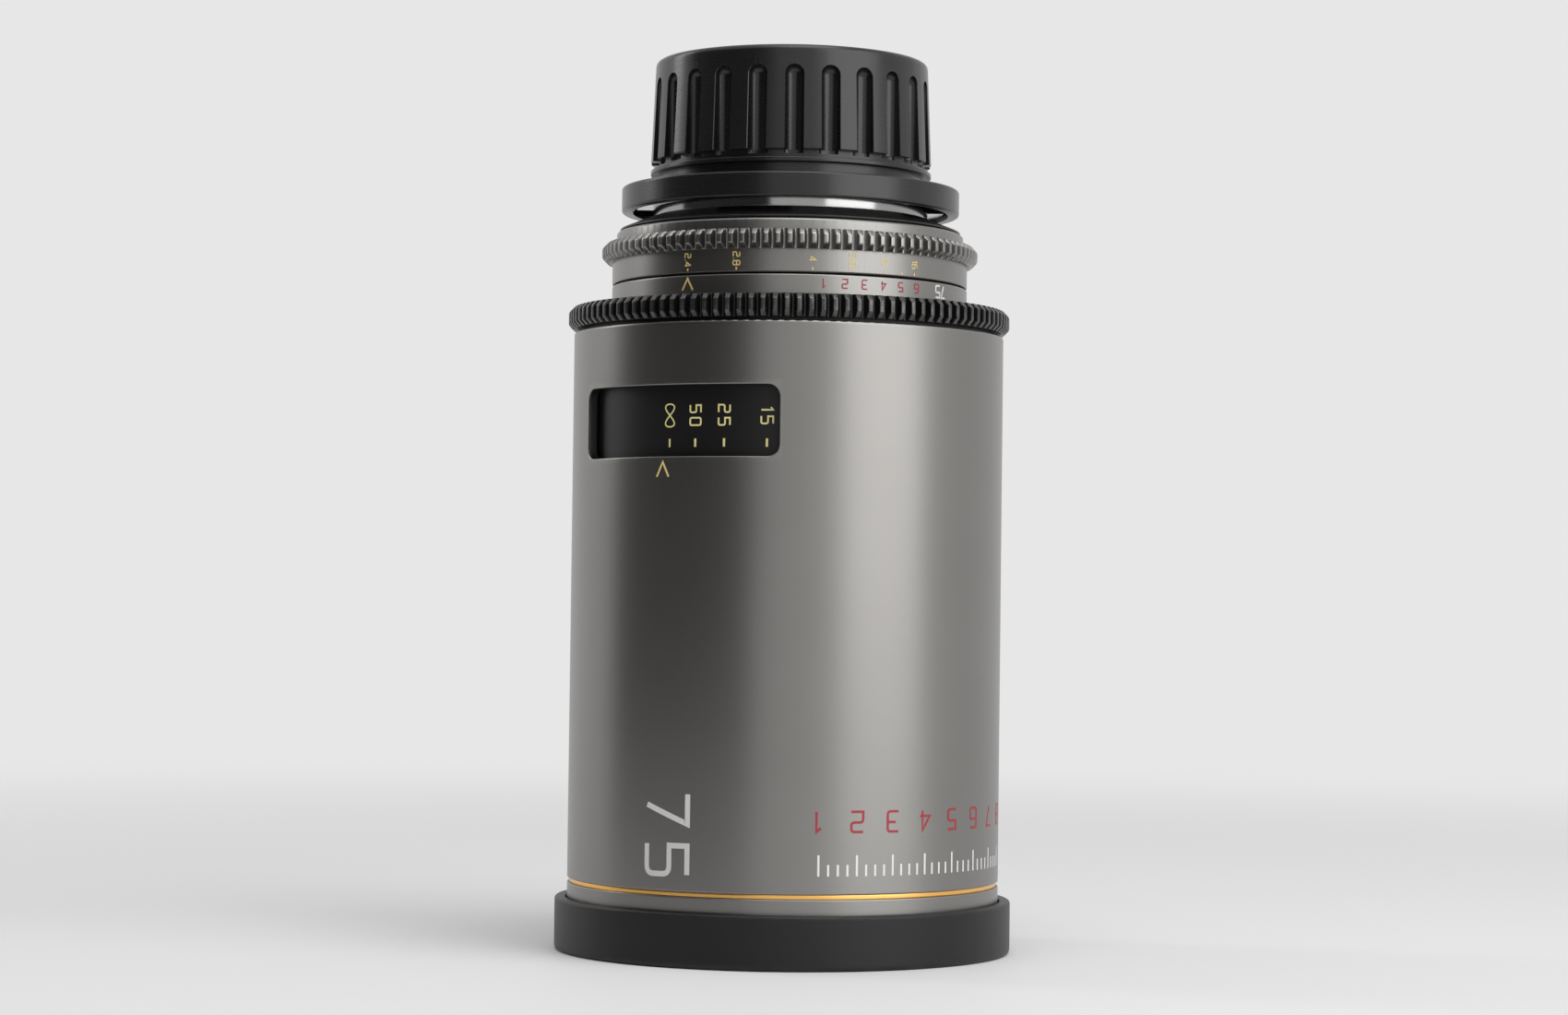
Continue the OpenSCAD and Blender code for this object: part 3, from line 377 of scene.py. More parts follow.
revolve("front_bezel_ring", [
    (FILTER_R + FILTER_MOUTH, BEZEL_LOW, 0.15), (SLEEVE_R - BEZEL_EDGE, BEZEL_LOW, 0.2),
    (SLEEVE_R, BEZEL_LOW + BEZEL_EDGE, 0.2), (SLEEVE_R, BEZEL_HIGH, 0.2),
    (FRONT_BORE, BEZEL_HIGH, 0.05), (FRONT_BORE, SHELF + WEB_T, 0.05),
    (WEB_R, SHELF + WEB_T, 0.2), (WEB_R, SHELF, 0.2), (FILTER_R, SHELF, 0.1)] + thread,
    titanium, "barrel", ["front_bezel"])

GOLD_SET, GOLD_CROWN, GOLD_EDGE = 0.5, 0.05, 0.25
GOLD_R = SLEEVE_R - GOLD_SET
revolve("accent_band", [
    (FRONT_BORE, GOLD_LOW, 0), (GOLD_R - GOLD_CROWN, GOLD_LOW, 0.08), (GOLD_R, GOLD_LOW + GOLD_EDGE, 0.1),
    (GOLD_R, GOLD_HIGH - GOLD_EDGE, 0.1), (GOLD_R - GOLD_CROWN, GOLD_HIGH, 0.08),
    (FRONT_BORE, GOLD_HIGH, 0)],
    gold, "barrel", ["accent_ring"])


# outer sleeve with the scale window: half its span in degrees, half its height, and a square frame round it

STEP = 1.25
SPAN, TALL, CORNER = 31.3, 7.5, 2.4
WINDOW_DROP = 21
MIDDLE = SLEEVE_HIGH - WINDOW_DROP
FRAME_A, FRAME_TALL = 32.5, 9.0
FRAME_ROWS = (-FRAME_TALL, -8.2, -7.2, -5.1, -3.4, -1.7, 0.0, 1.7, 3.4, 5.1, 7.2, 8.2, FRAME_TALL)
BORE_STEP = 68.3
WINDOW_SOFT, SOFT_STEPS = 0.3, 4
WALL_GUARD, WALL_CHAMFER = 0.2, 0.1
# bands of the window's rounded rim that keep the sleeve's grey; the bands inside them and the wall are
# painted shade in black
GREY_BANDS = 3
NEAR = 0.01


def window_rim():
    """Points on the frame round the window and matching points on its outline, both (angle, height)."""
    arc = math.degrees(CORNER / SLEEVE_R)
    sides = round(2 * FRAME_A / STEP)
    frame_points, outline = [], []

    def corner(ca, cz, degrees):
        a = math.radians(degrees)
        return (ca + arc * math.cos(a), cz + CORNER * math.sin(a))

    right, high = SPAN - arc, TALL - CORNER
    for i in range(sides):
        a = -FRAME_A + i * STEP
        frame_points.append((a, -FRAME_TALL))
        if a < -right:
            share = (a + FRAME_A) / (FRAME_A - right)
            outline.append(corner(-right, -high, 225 + 45 * share))
        elif a > right:
            share = (a - right) / (FRAME_A - right)
            outline.append(corner(right, -high, 270 + 45 * share))
        else:
            outline.append((a, -TALL))
    for z in FRAME_ROWS[:-1]:
        frame_points.append((FRAME_A, z))
        if z < -high:
            outline.append(corner(right, -high, 315 + 45 * (z + FRAME_TALL) / (FRAME_TALL - high)))
        elif z > high:
            outline.append(corner(right, high, 45 * (z - high) / (FRAME_TALL - high)))
        else:
            outline.append((SPAN, z))
    frame_points += [(-a, -z) for a, z in frame_points]
    outline += [(-a, -z) for a, z in outline]
    return frame_points, outline


def sleeve():
    """Turned wall with a square gap, closed up to the window's outline. The window's own wall takes the
    black finish as painted shade for the recess.
    """
    segments = round(360 / STEP)
    wall = [MIDDLE + z for z in FRAME_ROWS]
    step = SLEEVE_LOW + BORE_STEP
    line = rounded([
        (FRONT_BORE, SLEEVE_LOW, 0.05), (SLEEVE_R, SLEEVE_LOW, 0.25), (SLEEVE_R, SLEEVE_HIGH, 0.5),
        (SLEEVE_BORE, SLEEVE_HIGH, 0.2), (SLEEVE_BORE, step, 0.05), (FRONT_BORE, step, 0.05)])
    top = next(i for i, p in enumerate(line) if p[0] > SLEEVE_R - NEAR and p[1] > MIDDLE)
    low = next(i for i, p in enumerate(line) if p[0] < SLEEVE_BORE + NEAR and p[1] < MIDDLE and i > top)
    line = (line[:top] + [(SLEEVE_R, z, 0.0) for z in wall] + line[top:low]
            + [(SLEEVE_BORE, z, 0.0) for z in reversed(wall)] + line[low:])
    first_out = top
    first_in = low + len(wall)
    points, edge = [], []
    for r, z, e in line:
        points += [at(r, k * STEP, z) for k in range(segments)]
        edge += [e] * segments
    faces = []
    reach = round(FRAME_A / STEP)
    for i in range(len(line)):
        j = (i + 1) % len(line)
        opening = first_out <= i < first_out + len(wall) - 1 or first_in <= i < first_in + len(wall) - 1
        for k in range(segments):
            m = (k + 1) % segments
            if opening and (k < reach or k >= segments - reach):
                continue
            faces.append((i * segments + k, i * segments + m, j * segments + m, j * segments + k))

    def grid(a, z, start, flip):
        row = FRAME_ROWS.index(z)
        row = len(wall) - 1 - row if flip else row
        return (start + row) * segments + round(a / STEP) % segments

    rim, outline = window_rim()
    count = len(rim)
    inward = []
    for i in range(count):
        before, after = outline[i - 1], outline[(i + 1) % count]
        da, dz = math.radians(after[0] - before[0]) * SLEEVE_R, after[1] - before[1]
        size = math.hypot(da, dz)
        inward.append((-dz / size, da / size))

    def loop(radius, grow, weight):
        start = len(points)
        for (a, z), (na, nz) in zip(outline, inward):
            points.append(at(radius, a - math.degrees(na * grow / SLEEVE_R), MIDDLE + z - nz * grow))
            edge.append(weight)
        return list(range(start, start + count))

    rings = [[grid(a, z, first_out, False) for a, z in rim]]
    for k in range(SOFT_STEPS + 1):
        t = math.radians(90 * k / SOFT_STEPS)
        rings.append(loop(SLEEVE_R - WINDOW_SOFT * (1 - math.cos(t)), WINDOW_SOFT * (1 - math.sin(t)), 1.0))
    rings.append(loop(SLEEVE_R - WINDOW_SOFT - WALL_GUARD, 0, 0.0))
    rings.append(loop(SLEEVE_BORE + WALL_CHAMFER, 0, 0.0))
    rings.append(loop(SLEEVE_BORE, WALL_CHAMFER, 0.0))
    rings.append([grid(a, z, first_in, True) for a, z in rim])
    painted_shade_start = len(faces) + GREY_BANDS * count
    for a, b in zip(rings, rings[1:]):
        for k in range(count):
            m = (k + 1) % count
            faces.append((a[k], a[m], b[m], b[k]))
    shell = piece("outer_sleeve_shell", points, faces, titanium, "barrel", ["outer_sleeve"],
                  edge)
    # the window's wall and the inner bands of its rim take the black finish as painted shade for the recess
    shell.data.materials.append(black)
    for polygon in shell.data.polygons[painted_shade_start:]:
        polygon.material_index = 1


sleeve()


# rings: a tooth is (part of the pitch, part of the depth), its bevelled end (rise, drop from the tip)

TOOTH_MODULE, TOOTH_ADDENDUM, TOOTH_DEDENDUM = 0.8, 1.0, 1.25
TOOTH = ((-0.5, 0.0), (-0.40, 0.02), (-0.345, 0.10), (-0.30, 0.26), (-0.25, 0.52), (-0.205, 0.82),
         (-0.175, 0.96), (-0.10, 1.0), (0.10, 1.0), (0.175, 0.96), (0.205, 0.82), (0.25, 0.52),
         (0.30, 0.26), (0.345, 0.10), (0.40, 0.02))
TOOTH_BEVEL, BEVEL_SOFT = 1.2, 0.22
BEVEL_LINE = ((0.0, TOOTH_BEVEL), (0.08, TOOTH_BEVEL - 0.12), (TOOTH_BEVEL - BEVEL_SOFT, 0.2),
              (TOOTH_BEVEL, 0.05), (TOOTH_BEVEL + BEVEL_SOFT, 0.0))
FIRST_TOOTH, TIP_FADE = 90, 0.3


def gear(teeth):
    """Root and tip radius of a gear."""
    return TOOTH_MODULE * (teeth / 2 - TOOTH_DEDENDUM), TOOTH_MODULE * (teeth / 2 + TOOTH_ADDENDUM)


def tooth_rows(z0, z1, tip):
    """Tooth rows of a gear with a bevel at both ends, its corner slightly rounded."""
    low = [(z0 + rise, tip - drop, True) for rise, drop in BEVEL_LINE]
    high = [(z1 - rise, tip - drop, True) for rise, drop in reversed(BEVEL_LINE)]
    return low + high


def toothed(name, teeth, rows, material, body, replaces):
    """Ring with a gear band. A row is (height, radius) for a circle, or (height, cap, True) for teeth."""
    root, tip = gear(teeth)
    pitch = 360 / teeth
    columns = [(FIRST_TOOTH + (i + f) * pitch, root + (tip - root) * share)
               for i in range(teeth) for f, share in TOOTH]
    points, edge = [], []
    for row in rows:
        for angle, radius in columns:
            if len(row) == 3:
                r = min(radius, row[1])
                edge.append(max(0.0, min(1.0, (radius - tip) / TIP_FADE + 1)))
            else:
                r = row[1]
                edge.append(0.0)
            points.append(at(r, angle, row[0]))
    faces = lattice(len(rows), len(columns))
    return piece(name, points, faces, material, body, replaces, edge, TOOTH_SHARP)


FOCUS_TEETH = 120
FOCUS_BORE, FOCUS_EDGE, FOCUS_FOOT = 45.15, 0.2, 0.3
FOCUS_SEAT_R, FOCUS_SEAT_T = 43.8, 1.0
FOCUS_LIP_T, FOCUS_LIP_GAP = 2.0, 0.4
root, tip = gear(FOCUS_TEETH)
lip = FOCUS_HIGH - FOCUS_LIP_T
lip_bore = BAND_R + FOCUS_LIP_GAP
toothed("focus_gear_ring", FOCUS_TEETH,
        [(FOCUS_LOW, root - FOCUS_FOOT)]
        + tooth_rows(FOCUS_LOW, FOCUS_HIGH, tip)
        + [(FOCUS_HIGH, root - FOCUS_FOOT), (FOCUS_HIGH, lip_bore + FOCUS_EDGE),
           (FOCUS_HIGH - FOCUS_EDGE, lip_bore), (lip, lip_bore), (lip, FOCUS_SEAT_R),
           (lip - FOCUS_SEAT_T, FOCUS_SEAT_R), (lip - FOCUS_SEAT_T, FOCUS_BORE),
           (FOCUS_LOW + FOCUS_EDGE, FOCUS_BORE), (FOCUS_LOW, FOCUS_BORE + FOCUS_EDGE)],
        gear_black, "focus", ["focus_ring"])

INDEX_BORE = HOUSING_R + 0.05
revolve("index_band", [
    (INDEX_BORE, INDEX_LOW, 0), (BAND_R, INDEX_LOW, 0.1),
    (BAND_R, INDEX_HIGH, 0.3), (INDEX_BORE, INDEX_HIGH, 0)],
    titanium, "barrel", ["index_ring"])

IRIS_TEETH = 102
IRIS_BORE, RIM_R, RIM_FILLET = HOUSING_R + 0.08, BAND_R - 0.9, 0.1
IRIS_GEAR_LOW = IRIS_LOW + 5
IRIS_GEAR_HIGH = IRIS_GEAR_LOW + 4.2
IRIS_GUARD = 0.15
IRIS_FOOT = ((0.0, 0.35), (0.06, 0.17), (0.2, 0.04), (0.4, 0.0))
IRIS_RIM = ((0.5, 0.0), (0.35, 0.05), (0.08, 0.3), (0.0, 0.5))
root, tip = gear(IRIS_TEETH)
toothed("iris_gear_ring", IRIS_TEETH,
        [(IRIS_LOW, IRIS_BORE)]
        + [(IRIS_LOW + rise, BAND_R - inset) for rise, inset in IRIS_FOOT]
        + [(IRIS_GEAR_LOW - IRIS_GUARD, BAND_R), (IRIS_GEAR_LOW, BAND_R)]
        + tooth_rows(IRIS_GEAR_LOW, IRIS_GEAR_HIGH, tip)
        + [(IRIS_GEAR_HIGH, RIM_R + RIM_FILLET), (IRIS_GEAR_HIGH + RIM_FILLET, RIM_R)]
        + [(IRIS_HIGH - drop, RIM_R - inset) for drop, inset in IRIS_RIM]
        + [(IRIS_HIGH, IRIS_BORE)],
        titanium, "iris", ["iris_ring"])

REAR_CELL_R, NECK_R, NECK_GAP = 23.45, 30.5, 0.6
COLLAR_R, COLLAR_RIM = BAND_R - 1.6, 0.4
revolve("rear_collar_cone", [
    (REAR_CELL_R, COLLAR_LOW, 0), (COLLAR_R, COLLAR_LOW, 0.12), (COLLAR_R, COLLAR_LOW + COLLAR_RIM, 0.15),
    (NECK_R + NECK_GAP, COLLAR_HIGH, 0.2), (REAR_CELL_R, COLLAR_HIGH, 0)],
    black, "barrel", ["rear_collar"])


# rear cap: skirt, lip, and a grip whose deep flutes end above in round arches

FLUTES, FLUTE_TURN, FLUTE_HALF, FLUTE_DEPTH = 24, 4.5, 2.0, 1.9
SKIRT_R, SKIRT_BORE, GRIP_FOOT, GRIP_TOP, CAP_EDGE = 37.4, 35.0, 31.1, 30.2, 1.2
SKIRT_HIGH = SEAT + 1.6
LIP_LOW, LIP_HIGH = SEAT + 4.5, SEAT + 5.5
GRIP_LOW = LIP_HIGH + 1.7
FLUTE_LOW = GRIP_LOW - 0.85
ARCH_HIGH = REAR_HIGH - 4.4
ARCH_LOW = ARCH_HIGH - FLUTE_HALF
RECESS_R = GRIP_FOOT - 1.8
FLOOR_R = GRIP_TOP - FLUTE_DEPTH
HOLLOW_R, SOCKET_R = 25.5, 28.0
HOLLOW_HIGH = REAR_HIGH - 3.5
SOCKET_HIGH = SPIGOT_HIGH + 0.3
DISC_R, DISC_DEPTH, HUB_R = 12.0, 0.2, 4.0
FLOOR_TURNS = (-75, -55, -35, -12, 12, 35, 55, 75)
ARCH_TURNS = (9, 18, 27, 36, 45, 54, 62, 69, 75, 80, 84)
LAND_SHARES = (0.08, 0.3, 0.5, 0.7, 0.92)
RIM = 0.14
# least edge weight on the flute rims: rubbed wear and a painted highlight where the rims catch the light
RIM_WEAR_AND_HIGHLIGHT, TOP_WEAR = 0.3, 0.3
PLAIN_HALF, PLAIN_SHARE = 0.5, 0.02
# rise, inset and wear of the grip's lower edge, and the levels of its rows
GRIP_EDGE = ((0.0, 0.15, 0.3), (0.05, 0.04, 1.0), (0.16, 0.0, 0.8))
GRIP_LEVELS = (GRIP_LOW + 0.5, GRIP_LOW + 5, GRIP_LOW + 10, ARCH_LOW - 1, ARCH_LOW)


def cap_row(z, surface, half, share, weight):
    """Ring of the cap: the cut across each flute, then the land beside it. A share of 0 leaves it plain."""
    middle_r = min(GRIP_TOP, surface - 2 * RIM)
    cut = [(surface - RIM, -half), (middle_r, -half)]
    for turn in FLOOR_TURNS:
        t = math.radians(turn)
        cut.append((middle_r - (middle_r - FLOOR_R) * math.cos(t), half * math.sin(t)))
    cut += [(middle_r, half), (surface - RIM, half)]
    if share:
        cut = [(surface - (surface - radius) * share, x * share) for radius, x in cut]
        half *= share
    else:
        last = len(cut) - 1
        cut = [(surface, half * (2 * k / last - 1)) for k in range(last + 1)]
    edge = half + RIM
    free = math.radians(360 / FLUTES) * surface - 2 * edge
    # flute rims take at least that weight: wear plus a painted highlight along the rims
    worn = max(weight, RIM_WEAR_AND_HIGHLIGHT) if share else weight
    line = [(surface, -edge, worn)]
    line += [(radius, x, 0.0) for radius, x in cut]
    line += [(surface, edge, worn)]
    line += [(surface, edge + free * part, weight) for part in LAND_SHARES]
    out = []
    for i in range(FLUTES):
        middle = FLUTE_TURN + i * 360 / FLUTES
        out += [(at(radius, middle + math.degrees(x / radius), z), wear) for radius, x, wear in line]
    return out


def rear_cap():
    """Rows from under the skirt, up the grip, over the top and down inside. Two discs close the hub."""
    rows = []
    lower = rounded([
        (SKIRT_BORE, REAR_LOW, 0.1), (SKIRT_R, REAR_LOW, 0.45), (SKIRT_R, SKIRT_HIGH, 0.5),
        (RECESS_R, SKIRT_HIGH, 0.12), (RECESS_R, LIP_LOW, 0.12), (GRIP_FOOT, LIP_LOW, 0.15),
        (GRIP_FOOT, LIP_HIGH, 0.2), (RECESS_R, LIP_HIGH, 0.1), (RECESS_R, FLUTE_LOW, 0.0),
        (HOLLOW_R, FLUTE_LOW, 0.0)])
    for r, z, e in lower[:-1]:
        rows.append(cap_row(z, r, FLUTE_HALF, 0, e))

    def land(z):
        return GRIP_FOOT + (GRIP_TOP - GRIP_FOOT) * (z - GRIP_LOW) / (REAR_HIGH - CAP_EDGE - GRIP_LOW)

    arch = [ARCH_LOW + FLUTE_HALF * math.sin(math.radians(t)) for t in ARCH_TURNS]
    grip = [(FLUTE_LOW, RECESS_R, 0.0), (GRIP_LOW, RECESS_R, 0.0)]
    grip += [(GRIP_LOW + rise, GRIP_FOOT - inset, wear) for rise, inset, wear in GRIP_EDGE]
    grip += [(z, land(z), 0.0) for z in (*GRIP_LEVELS, *arch)]
    for z, r, e in grip:
        share = math.sqrt(1 - max(0.0, (z - ARCH_LOW) / FLUTE_HALF) ** 2)
        rows.append(cap_row(z, r, FLUTE_HALF, share, e))

    upper = rounded([
        (HOLLOW_R, ARCH_HIGH, 0.0), (land(ARCH_HIGH), ARCH_HIGH, 0.0),
        (land(REAR_HIGH), REAR_HIGH, CAP_EDGE),
        (DISC_R, REAR_HIGH, 0.0), (DISC_R - DISC_DEPTH, REAR_HIGH - DISC_DEPTH, 0.0),
        (HUB_R, REAR_HIGH - DISC_DEPTH, 0.0), (HUB_R, HOLLOW_HIGH, 0.0),
        (HOLLOW_R, HOLLOW_HIGH, 0.3), (HOLLOW_R, SOCKET_HIGH, 0.1), (SOCKET_R, SOCKET_HIGH, 0.1),
        (SOCKET_R, SEAT, 0.1), (SKIRT_BORE, SEAT, 0.1)])[1:]
    hub = len(rows) + next(i for i, (r, _, _) in enumerate(upper) if r <= HUB_R)
    for r, z, e in upper:
        rows.append(cap_row(z, r, min(PLAIN_HALF, PLAIN_SHARE * r), 0, TOP_WEAR * e))
    columns = len(rows[0])
    points = [p for row in rows for p, _ in row]
    edge = [w for row in rows for _, w in row]
    faces = lattice(len(rows), columns)
    faces = faces[:hub * columns] + faces[(hub + 1) * columns:]
    faces.append([hub * columns + k for k in range(columns)])
    faces.append([(hub + 1) * columns + k for k in reversed(range(columns))])
    piece("rear_cap_shell", points, faces, cap_satin, "rear_cap", ["rear_cap"], edge,
          CAP_SHARP)


rear_cap()


# marks: strokes laid on a round wall, with digits drawn in a box one high and W wide

BEND_STEPS = 6


def bent(*corners):
    """Path through (x, y, rounding) corners with the roundings drawn as arcs."""
    out = []
    for i, (x, y, r) in enumerate(corners):
        if not r:
            out.append((x, y))
            continue
        here = Vector((x, y))
        back = (Vector(corners[i - 1][:2]) - here).normalized()
        on = (Vector(corners[(i + 1) % len(corners)][:2]) - here).normalized()
        reach = r / math.tan(back.angle(on) / 2)
        a, b = here + back * reach, here + on * reach
        for k in range(BEND_STEPS + 1):
            t = k / BEND_STEPS
            spot = a * (1 - t) ** 2 + here * (2 * t * (1 - t)) + b * t ** 2
            out.append((spot.x, spot.y))
    return out


W, R = 0.62, 0.17
OUTER = bent((0, 0, R), (W, 0, R), (W, 1, R), (0, 1, R))
DIGITS = {
    "0": [(OUTER, True)],
    "1": [([(0.08, 0.80), (0.30, 1.0), (0.30, 0.0)], False)],
    "2": [(bent((0, 1, 0), (W, 1, R), (W, 0.53, R), (0, 0.53, R), (0, 0, 0), (W, 0, 0)), False)],
    "3": [(bent((0, 1, 0), (W, 1, R), (W, 0, R), (0, 0, 0)), False), ([(0.16, 0.53), (0.60, 0.53)], False)],
    "4": [([(0.48, 0.0), (0.48, 1.0), (0.0, 0.27), (0.64, 0.27)], False)],
    "5": [(bent((W, 1, 0), (0.02, 1, 0), (0.02, 0.57, 0), (W, 0.57, R), (W, 0, R), (0, 0, 0)), False)],
    "6": [(bent((0.58, 1, 0), (0, 1, R), (0, 0, R), (W, 0, R), (W, 0.57, R), (0.02, 0.57, 0)), False)],
    "7": [([(0.0, 1.0), (W, 1.0), (0.24, 0.0)], False)],
    "8": [(OUTER, True), ([(0.02, 0.52), (0.60, 0.52)], False)],
    "9": [(bent((0.04, 0, 0), (W, 0, R), (W, 1, R), (0, 1, R), (0, 0.43, R), (0.60, 0.43, 0)), False)],
    ".": [([(0.02, 0.04), (0.14, 0.04)], False)],
}
WIDTH = {"1": 0.36, ".": 0.16}
SPACE = 0.24
LIFT, SUNK = 0.03, -0.05
STRIP_STEP, MITRE_LIMIT = 0.7, 0.5


class Marks:
    """Collects strokes as thin raised strips on a wall of one radius."""

    def __init__(self, radius):
        self.radius = radius
        self.points, self.faces = [], []

    def strip(self, path, width, closed=False):
        """Strip along a path of (distance to the right, height)."""
        corners = [Vector(p) for p in path] + ([Vector(path[0])] if closed else [])
        path = []
        for a, b in zip(corners, corners[1:]):
            parts = max(1, math.ceil(abs(b.x - a.x) / STRIP_STEP))
            path += [a.lerp(b, k / parts) for k in range(parts)]
        if not closed:
            path.append(corners[-1])
        count = len(path)
        left, right = [], []
        for i, p in enumerate(path):
            back = p - path[i - 1] if closed or i else path[1] - p
            on = path[(i + 1) % count] - p if closed or i < count - 1 else p - path[i - 1]
            back, on = back.normalized(), on.normalized()
            normal = Vector((-back.y - on.y, back.x + on.x))
            normal.normalize()
            spread = max(MITRE_LIMIT, normal.dot(Vector((-on.y, on.x))))
            left.append(p + normal * (width / 2 / spread))
            right.append(p - normal * (width / 2 / spread))
        start = len(self.points)
        lanes = ((left, LIFT), (right, LIFT), (right, SUNK), (left, SUNK))
        for line, height in lanes:
            for p in line:
                self.points.append(at(self.radius + height, math.degrees(p.x / self.radius), p.y))
        spans = range(count if closed else count - 1)
        for lane in range(len(lanes)):
            near, far = start + lane * count, start + (lane + 1) % len(lanes) * count
            for i in spans:
                j = (i + 1) % count
                self.faces.append((near + i, far + i, far + j, near + j))
        if not closed:
            self.faces.append((start + 3 * count, start + 2 * count, start + count, start))
            e = start + count - 1
            self.faces.append((e, e + count, e + 2 * count, e + 3 * count))

    def tick(self, degrees, z0, z1, width):
        s = math.radians(degrees) * self.radius
        self.strip([(s, z0), (s, z1)], width)

    def number(self, text, degrees, z, height, width, turn, space=SPACE):
        """Number centred at an angle and height, turned anticlockwise by the given degrees."""
        size = sum(WIDTH.get(c, W) for c in text) + space * (len(text) - 1)
        cos, sin = math.cos(math.radians(turn)), math.sin(math.radians(turn))
        s = math.radians(degrees) * self.radius
        x = -size / 2
        for c in text:
            for path, closed in DIGITS[c]:
                placed = []
                for px, py in path:
                    u, v = (x + px) * height, (py - 0.5) * height
                    placed.append((s + u * cos - v * sin, z + u * sin + v * cos))
                self.strip(placed, width, closed)
            x += WIDTH.get(c, W) + space

    def make(self, name, material, body):
        piece(name, self.points, self.faces, material, body, angle=MARK_SHARP)


SIDEWAYS, OVER = -90, 180

# distance scale on the drum: figures, ticks and the sign for infinity
DISTANCES = (("50", 8.0), ("25", 16.3), ("15", 28.0), ("12", 35.6), ("10", 43.6), ("8", 56.0), ("6", 78.4),
             ("5", 98.0), ("4", 130.7), ("3.5", 156.8))
FIGURES, FIGURE_TALL, FIGURE_LINE, FIGURE_SPACE = MIDDLE + 1.2, 2.5, 0.36, 0.46
TICKS, TICK_HALF, TICK_LINE, ZERO_LINE = MIDDLE - 4.6, 0.87, 0.48, 0.4
SIGN_WIDE, SIGN_TALL, SIGN_LINE, SIGN_STEPS = 1.15, 2.4, 0.3, 40
distance = Marks(DRUM_R)
for text, angle in DISTANCES:
    distance.number(text, angle, FIGURES, FIGURE_TALL, FIGURE_LINE, SIDEWAYS, FIGURE_SPACE)
    distance.tick(angle, TICKS - TICK_HALF, TICKS + TICK_HALF, TICK_LINE)
distance.tick(0, TICKS - TICK_HALF, TICKS + TICK_HALF, ZERO_LINE)
turns = [TAU * k / SIGN_STEPS for k in range(SIGN_STEPS)]
sign = [(SIGN_WIDE * math.sin(2 * a), FIGURES + SIGN_TALL * math.cos(a)) for a in turns]
distance.strip(sign, SIGN_LINE, True)
distance.make("distance_scale_marks", yellow_paint, "focus")

POINTER_LINE = 0.42


def pointer(name, radius, z, half, tall):
    """Open arrowhead pointing toward the mount."""
    marks = Marks(radius)
    marks.strip([(-half, z - tall / 2), (0, z + tall / 2), (half, z - tall / 2)], POINTER_LINE)
    marks.make(name, gold_paint, "barrel")


pointer("distance_index_mark", SLEEVE_R, MIDDLE - 10.25, half=1.5, tall=3.1)
pointer("iris_index_mark", BAND_R, INDEX_HIGH - 2.0, half=1.35, tall=2.5)

# aperture scale on the iris ring: one mark has no figure
APERTURES = (("2.4", 0.0), ("2.8", 16.8), ("4", 40.6), ("5.6", 53.3), ("8", 64.4), ("", 71.0), ("16", 76.2))
STOP_LOW, STOP_HIGH, STOP_LINE = IRIS_LOW + 0.5, IRIS_LOW + 1.1, 0.32
STOP_FIGURES, STOP_TALL, STOP_FIGURE_LINE = IRIS_LOW + 2.9, 1.45, 0.25
stops = Marks(BAND_R)
for text, angle in APERTURES:
    stops.tick(angle, STOP_LOW, STOP_HIGH, STOP_LINE)
    stops.number(text, angle, STOP_FIGURES, STOP_TALL, STOP_FIGURE_LINE, SIDEWAYS)
stops.make("iris_scale_marks", gold_paint, "iris")

number = Marks(SLEEVE_R)
number.number("75", 2.6, SLEEVE_LOW + 12, height=10.0, width=1.15, turn=SIDEWAYS, space=0.44)
number.make("barrel_number", silver_paint, "barrel")

# plain ruler and numbers near the front, and a row of numbers on the index ring
RULER_START, RULER_STEP, RULER_TICKS, RULER_GROUP = 42.5, 2.5, 29, 4
RULER_LOW, RULER_LINE = SLEEVE_LOW + 3.9, 0.45
RULER_SHORT, RULER_LONG = SLEEVE_LOW + 6.3, SLEEVE_LOW + 8.3
ruler, figures = Marks(SLEEVE_R), Marks(SLEEVE_R)
for i in range(RULER_TICKS):
    angle = RULER_START + RULER_STEP * i
    group, rest = divmod(i, RULER_GROUP)
    ruler.tick(angle, RULER_LOW, RULER_SHORT if rest else RULER_LONG, RULER_LINE)
    if not rest:
        figures.number(str(group + 1), angle, SLEEVE_LOW + 15.2, height=4.2, width=0.55, turn=OVER)
ruler.make("barrel_ruler_white", white_paint, "barrel")
figures.make("barrel_ruler_red", red_paint, "barrel")

RING_START, RING_STEP, RING_COUNT = 44.2, 6.6, 6
ring_figures, ring_number = Marks(BAND_R), Marks(BAND_R)
for i in range(RING_COUNT):
    angle = RING_START + RING_STEP * i
    ring_figures.number(str(i + 1), angle, INDEX_HIGH - 1.9, height=1.9, width=0.3, turn=OVER)
ring_number.number("75", 89.4, INDEX_HIGH - 2.0, height=2.5, width=0.40, turn=OVER)
ring_figures.make("index_ring_ruler_red", red_paint, "barrel")
ring_number.make("index_ring_number", white_paint, "barrel")


# carried-over solids

FINISHES = {
    "scale_drum": scale_black, "lens_mount": steel, "mount_screws": screw, "mount_shim": screw,
    "rear_cell": black, "rear_retaining_ring": black, "rear_spacer": baffle, "main_barrel": black,
    "front_cell": baffle, "front_retaining_ring": black, "middle_retaining_ring": black,
    "cam_sleeve": brass, "cam_followers": brass, "drum_screws": screw, "focus_retaining_ring": screw,
    "focus_cell": baffle, "focus_spacer": baffle, "focus_cell_ring": black, "rear_housing": black,
    "housing_screws": screw, "iris_drive_pin": screw, "iris_cam_ring": brass,
    "iris_retaining_ring": black, "iris_base_plate": black,
}
for name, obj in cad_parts.items():
    if obj.hide_render:
        continue
    material = FINISHES.get(name)
    if name.endswith("_element"):
        material = glass
    elif name.startswith("iris_blade"):
        material = blade_black
    obj.data.materials.clear()
    obj.data.materials.append(material)


# stage, light and camera, in metres

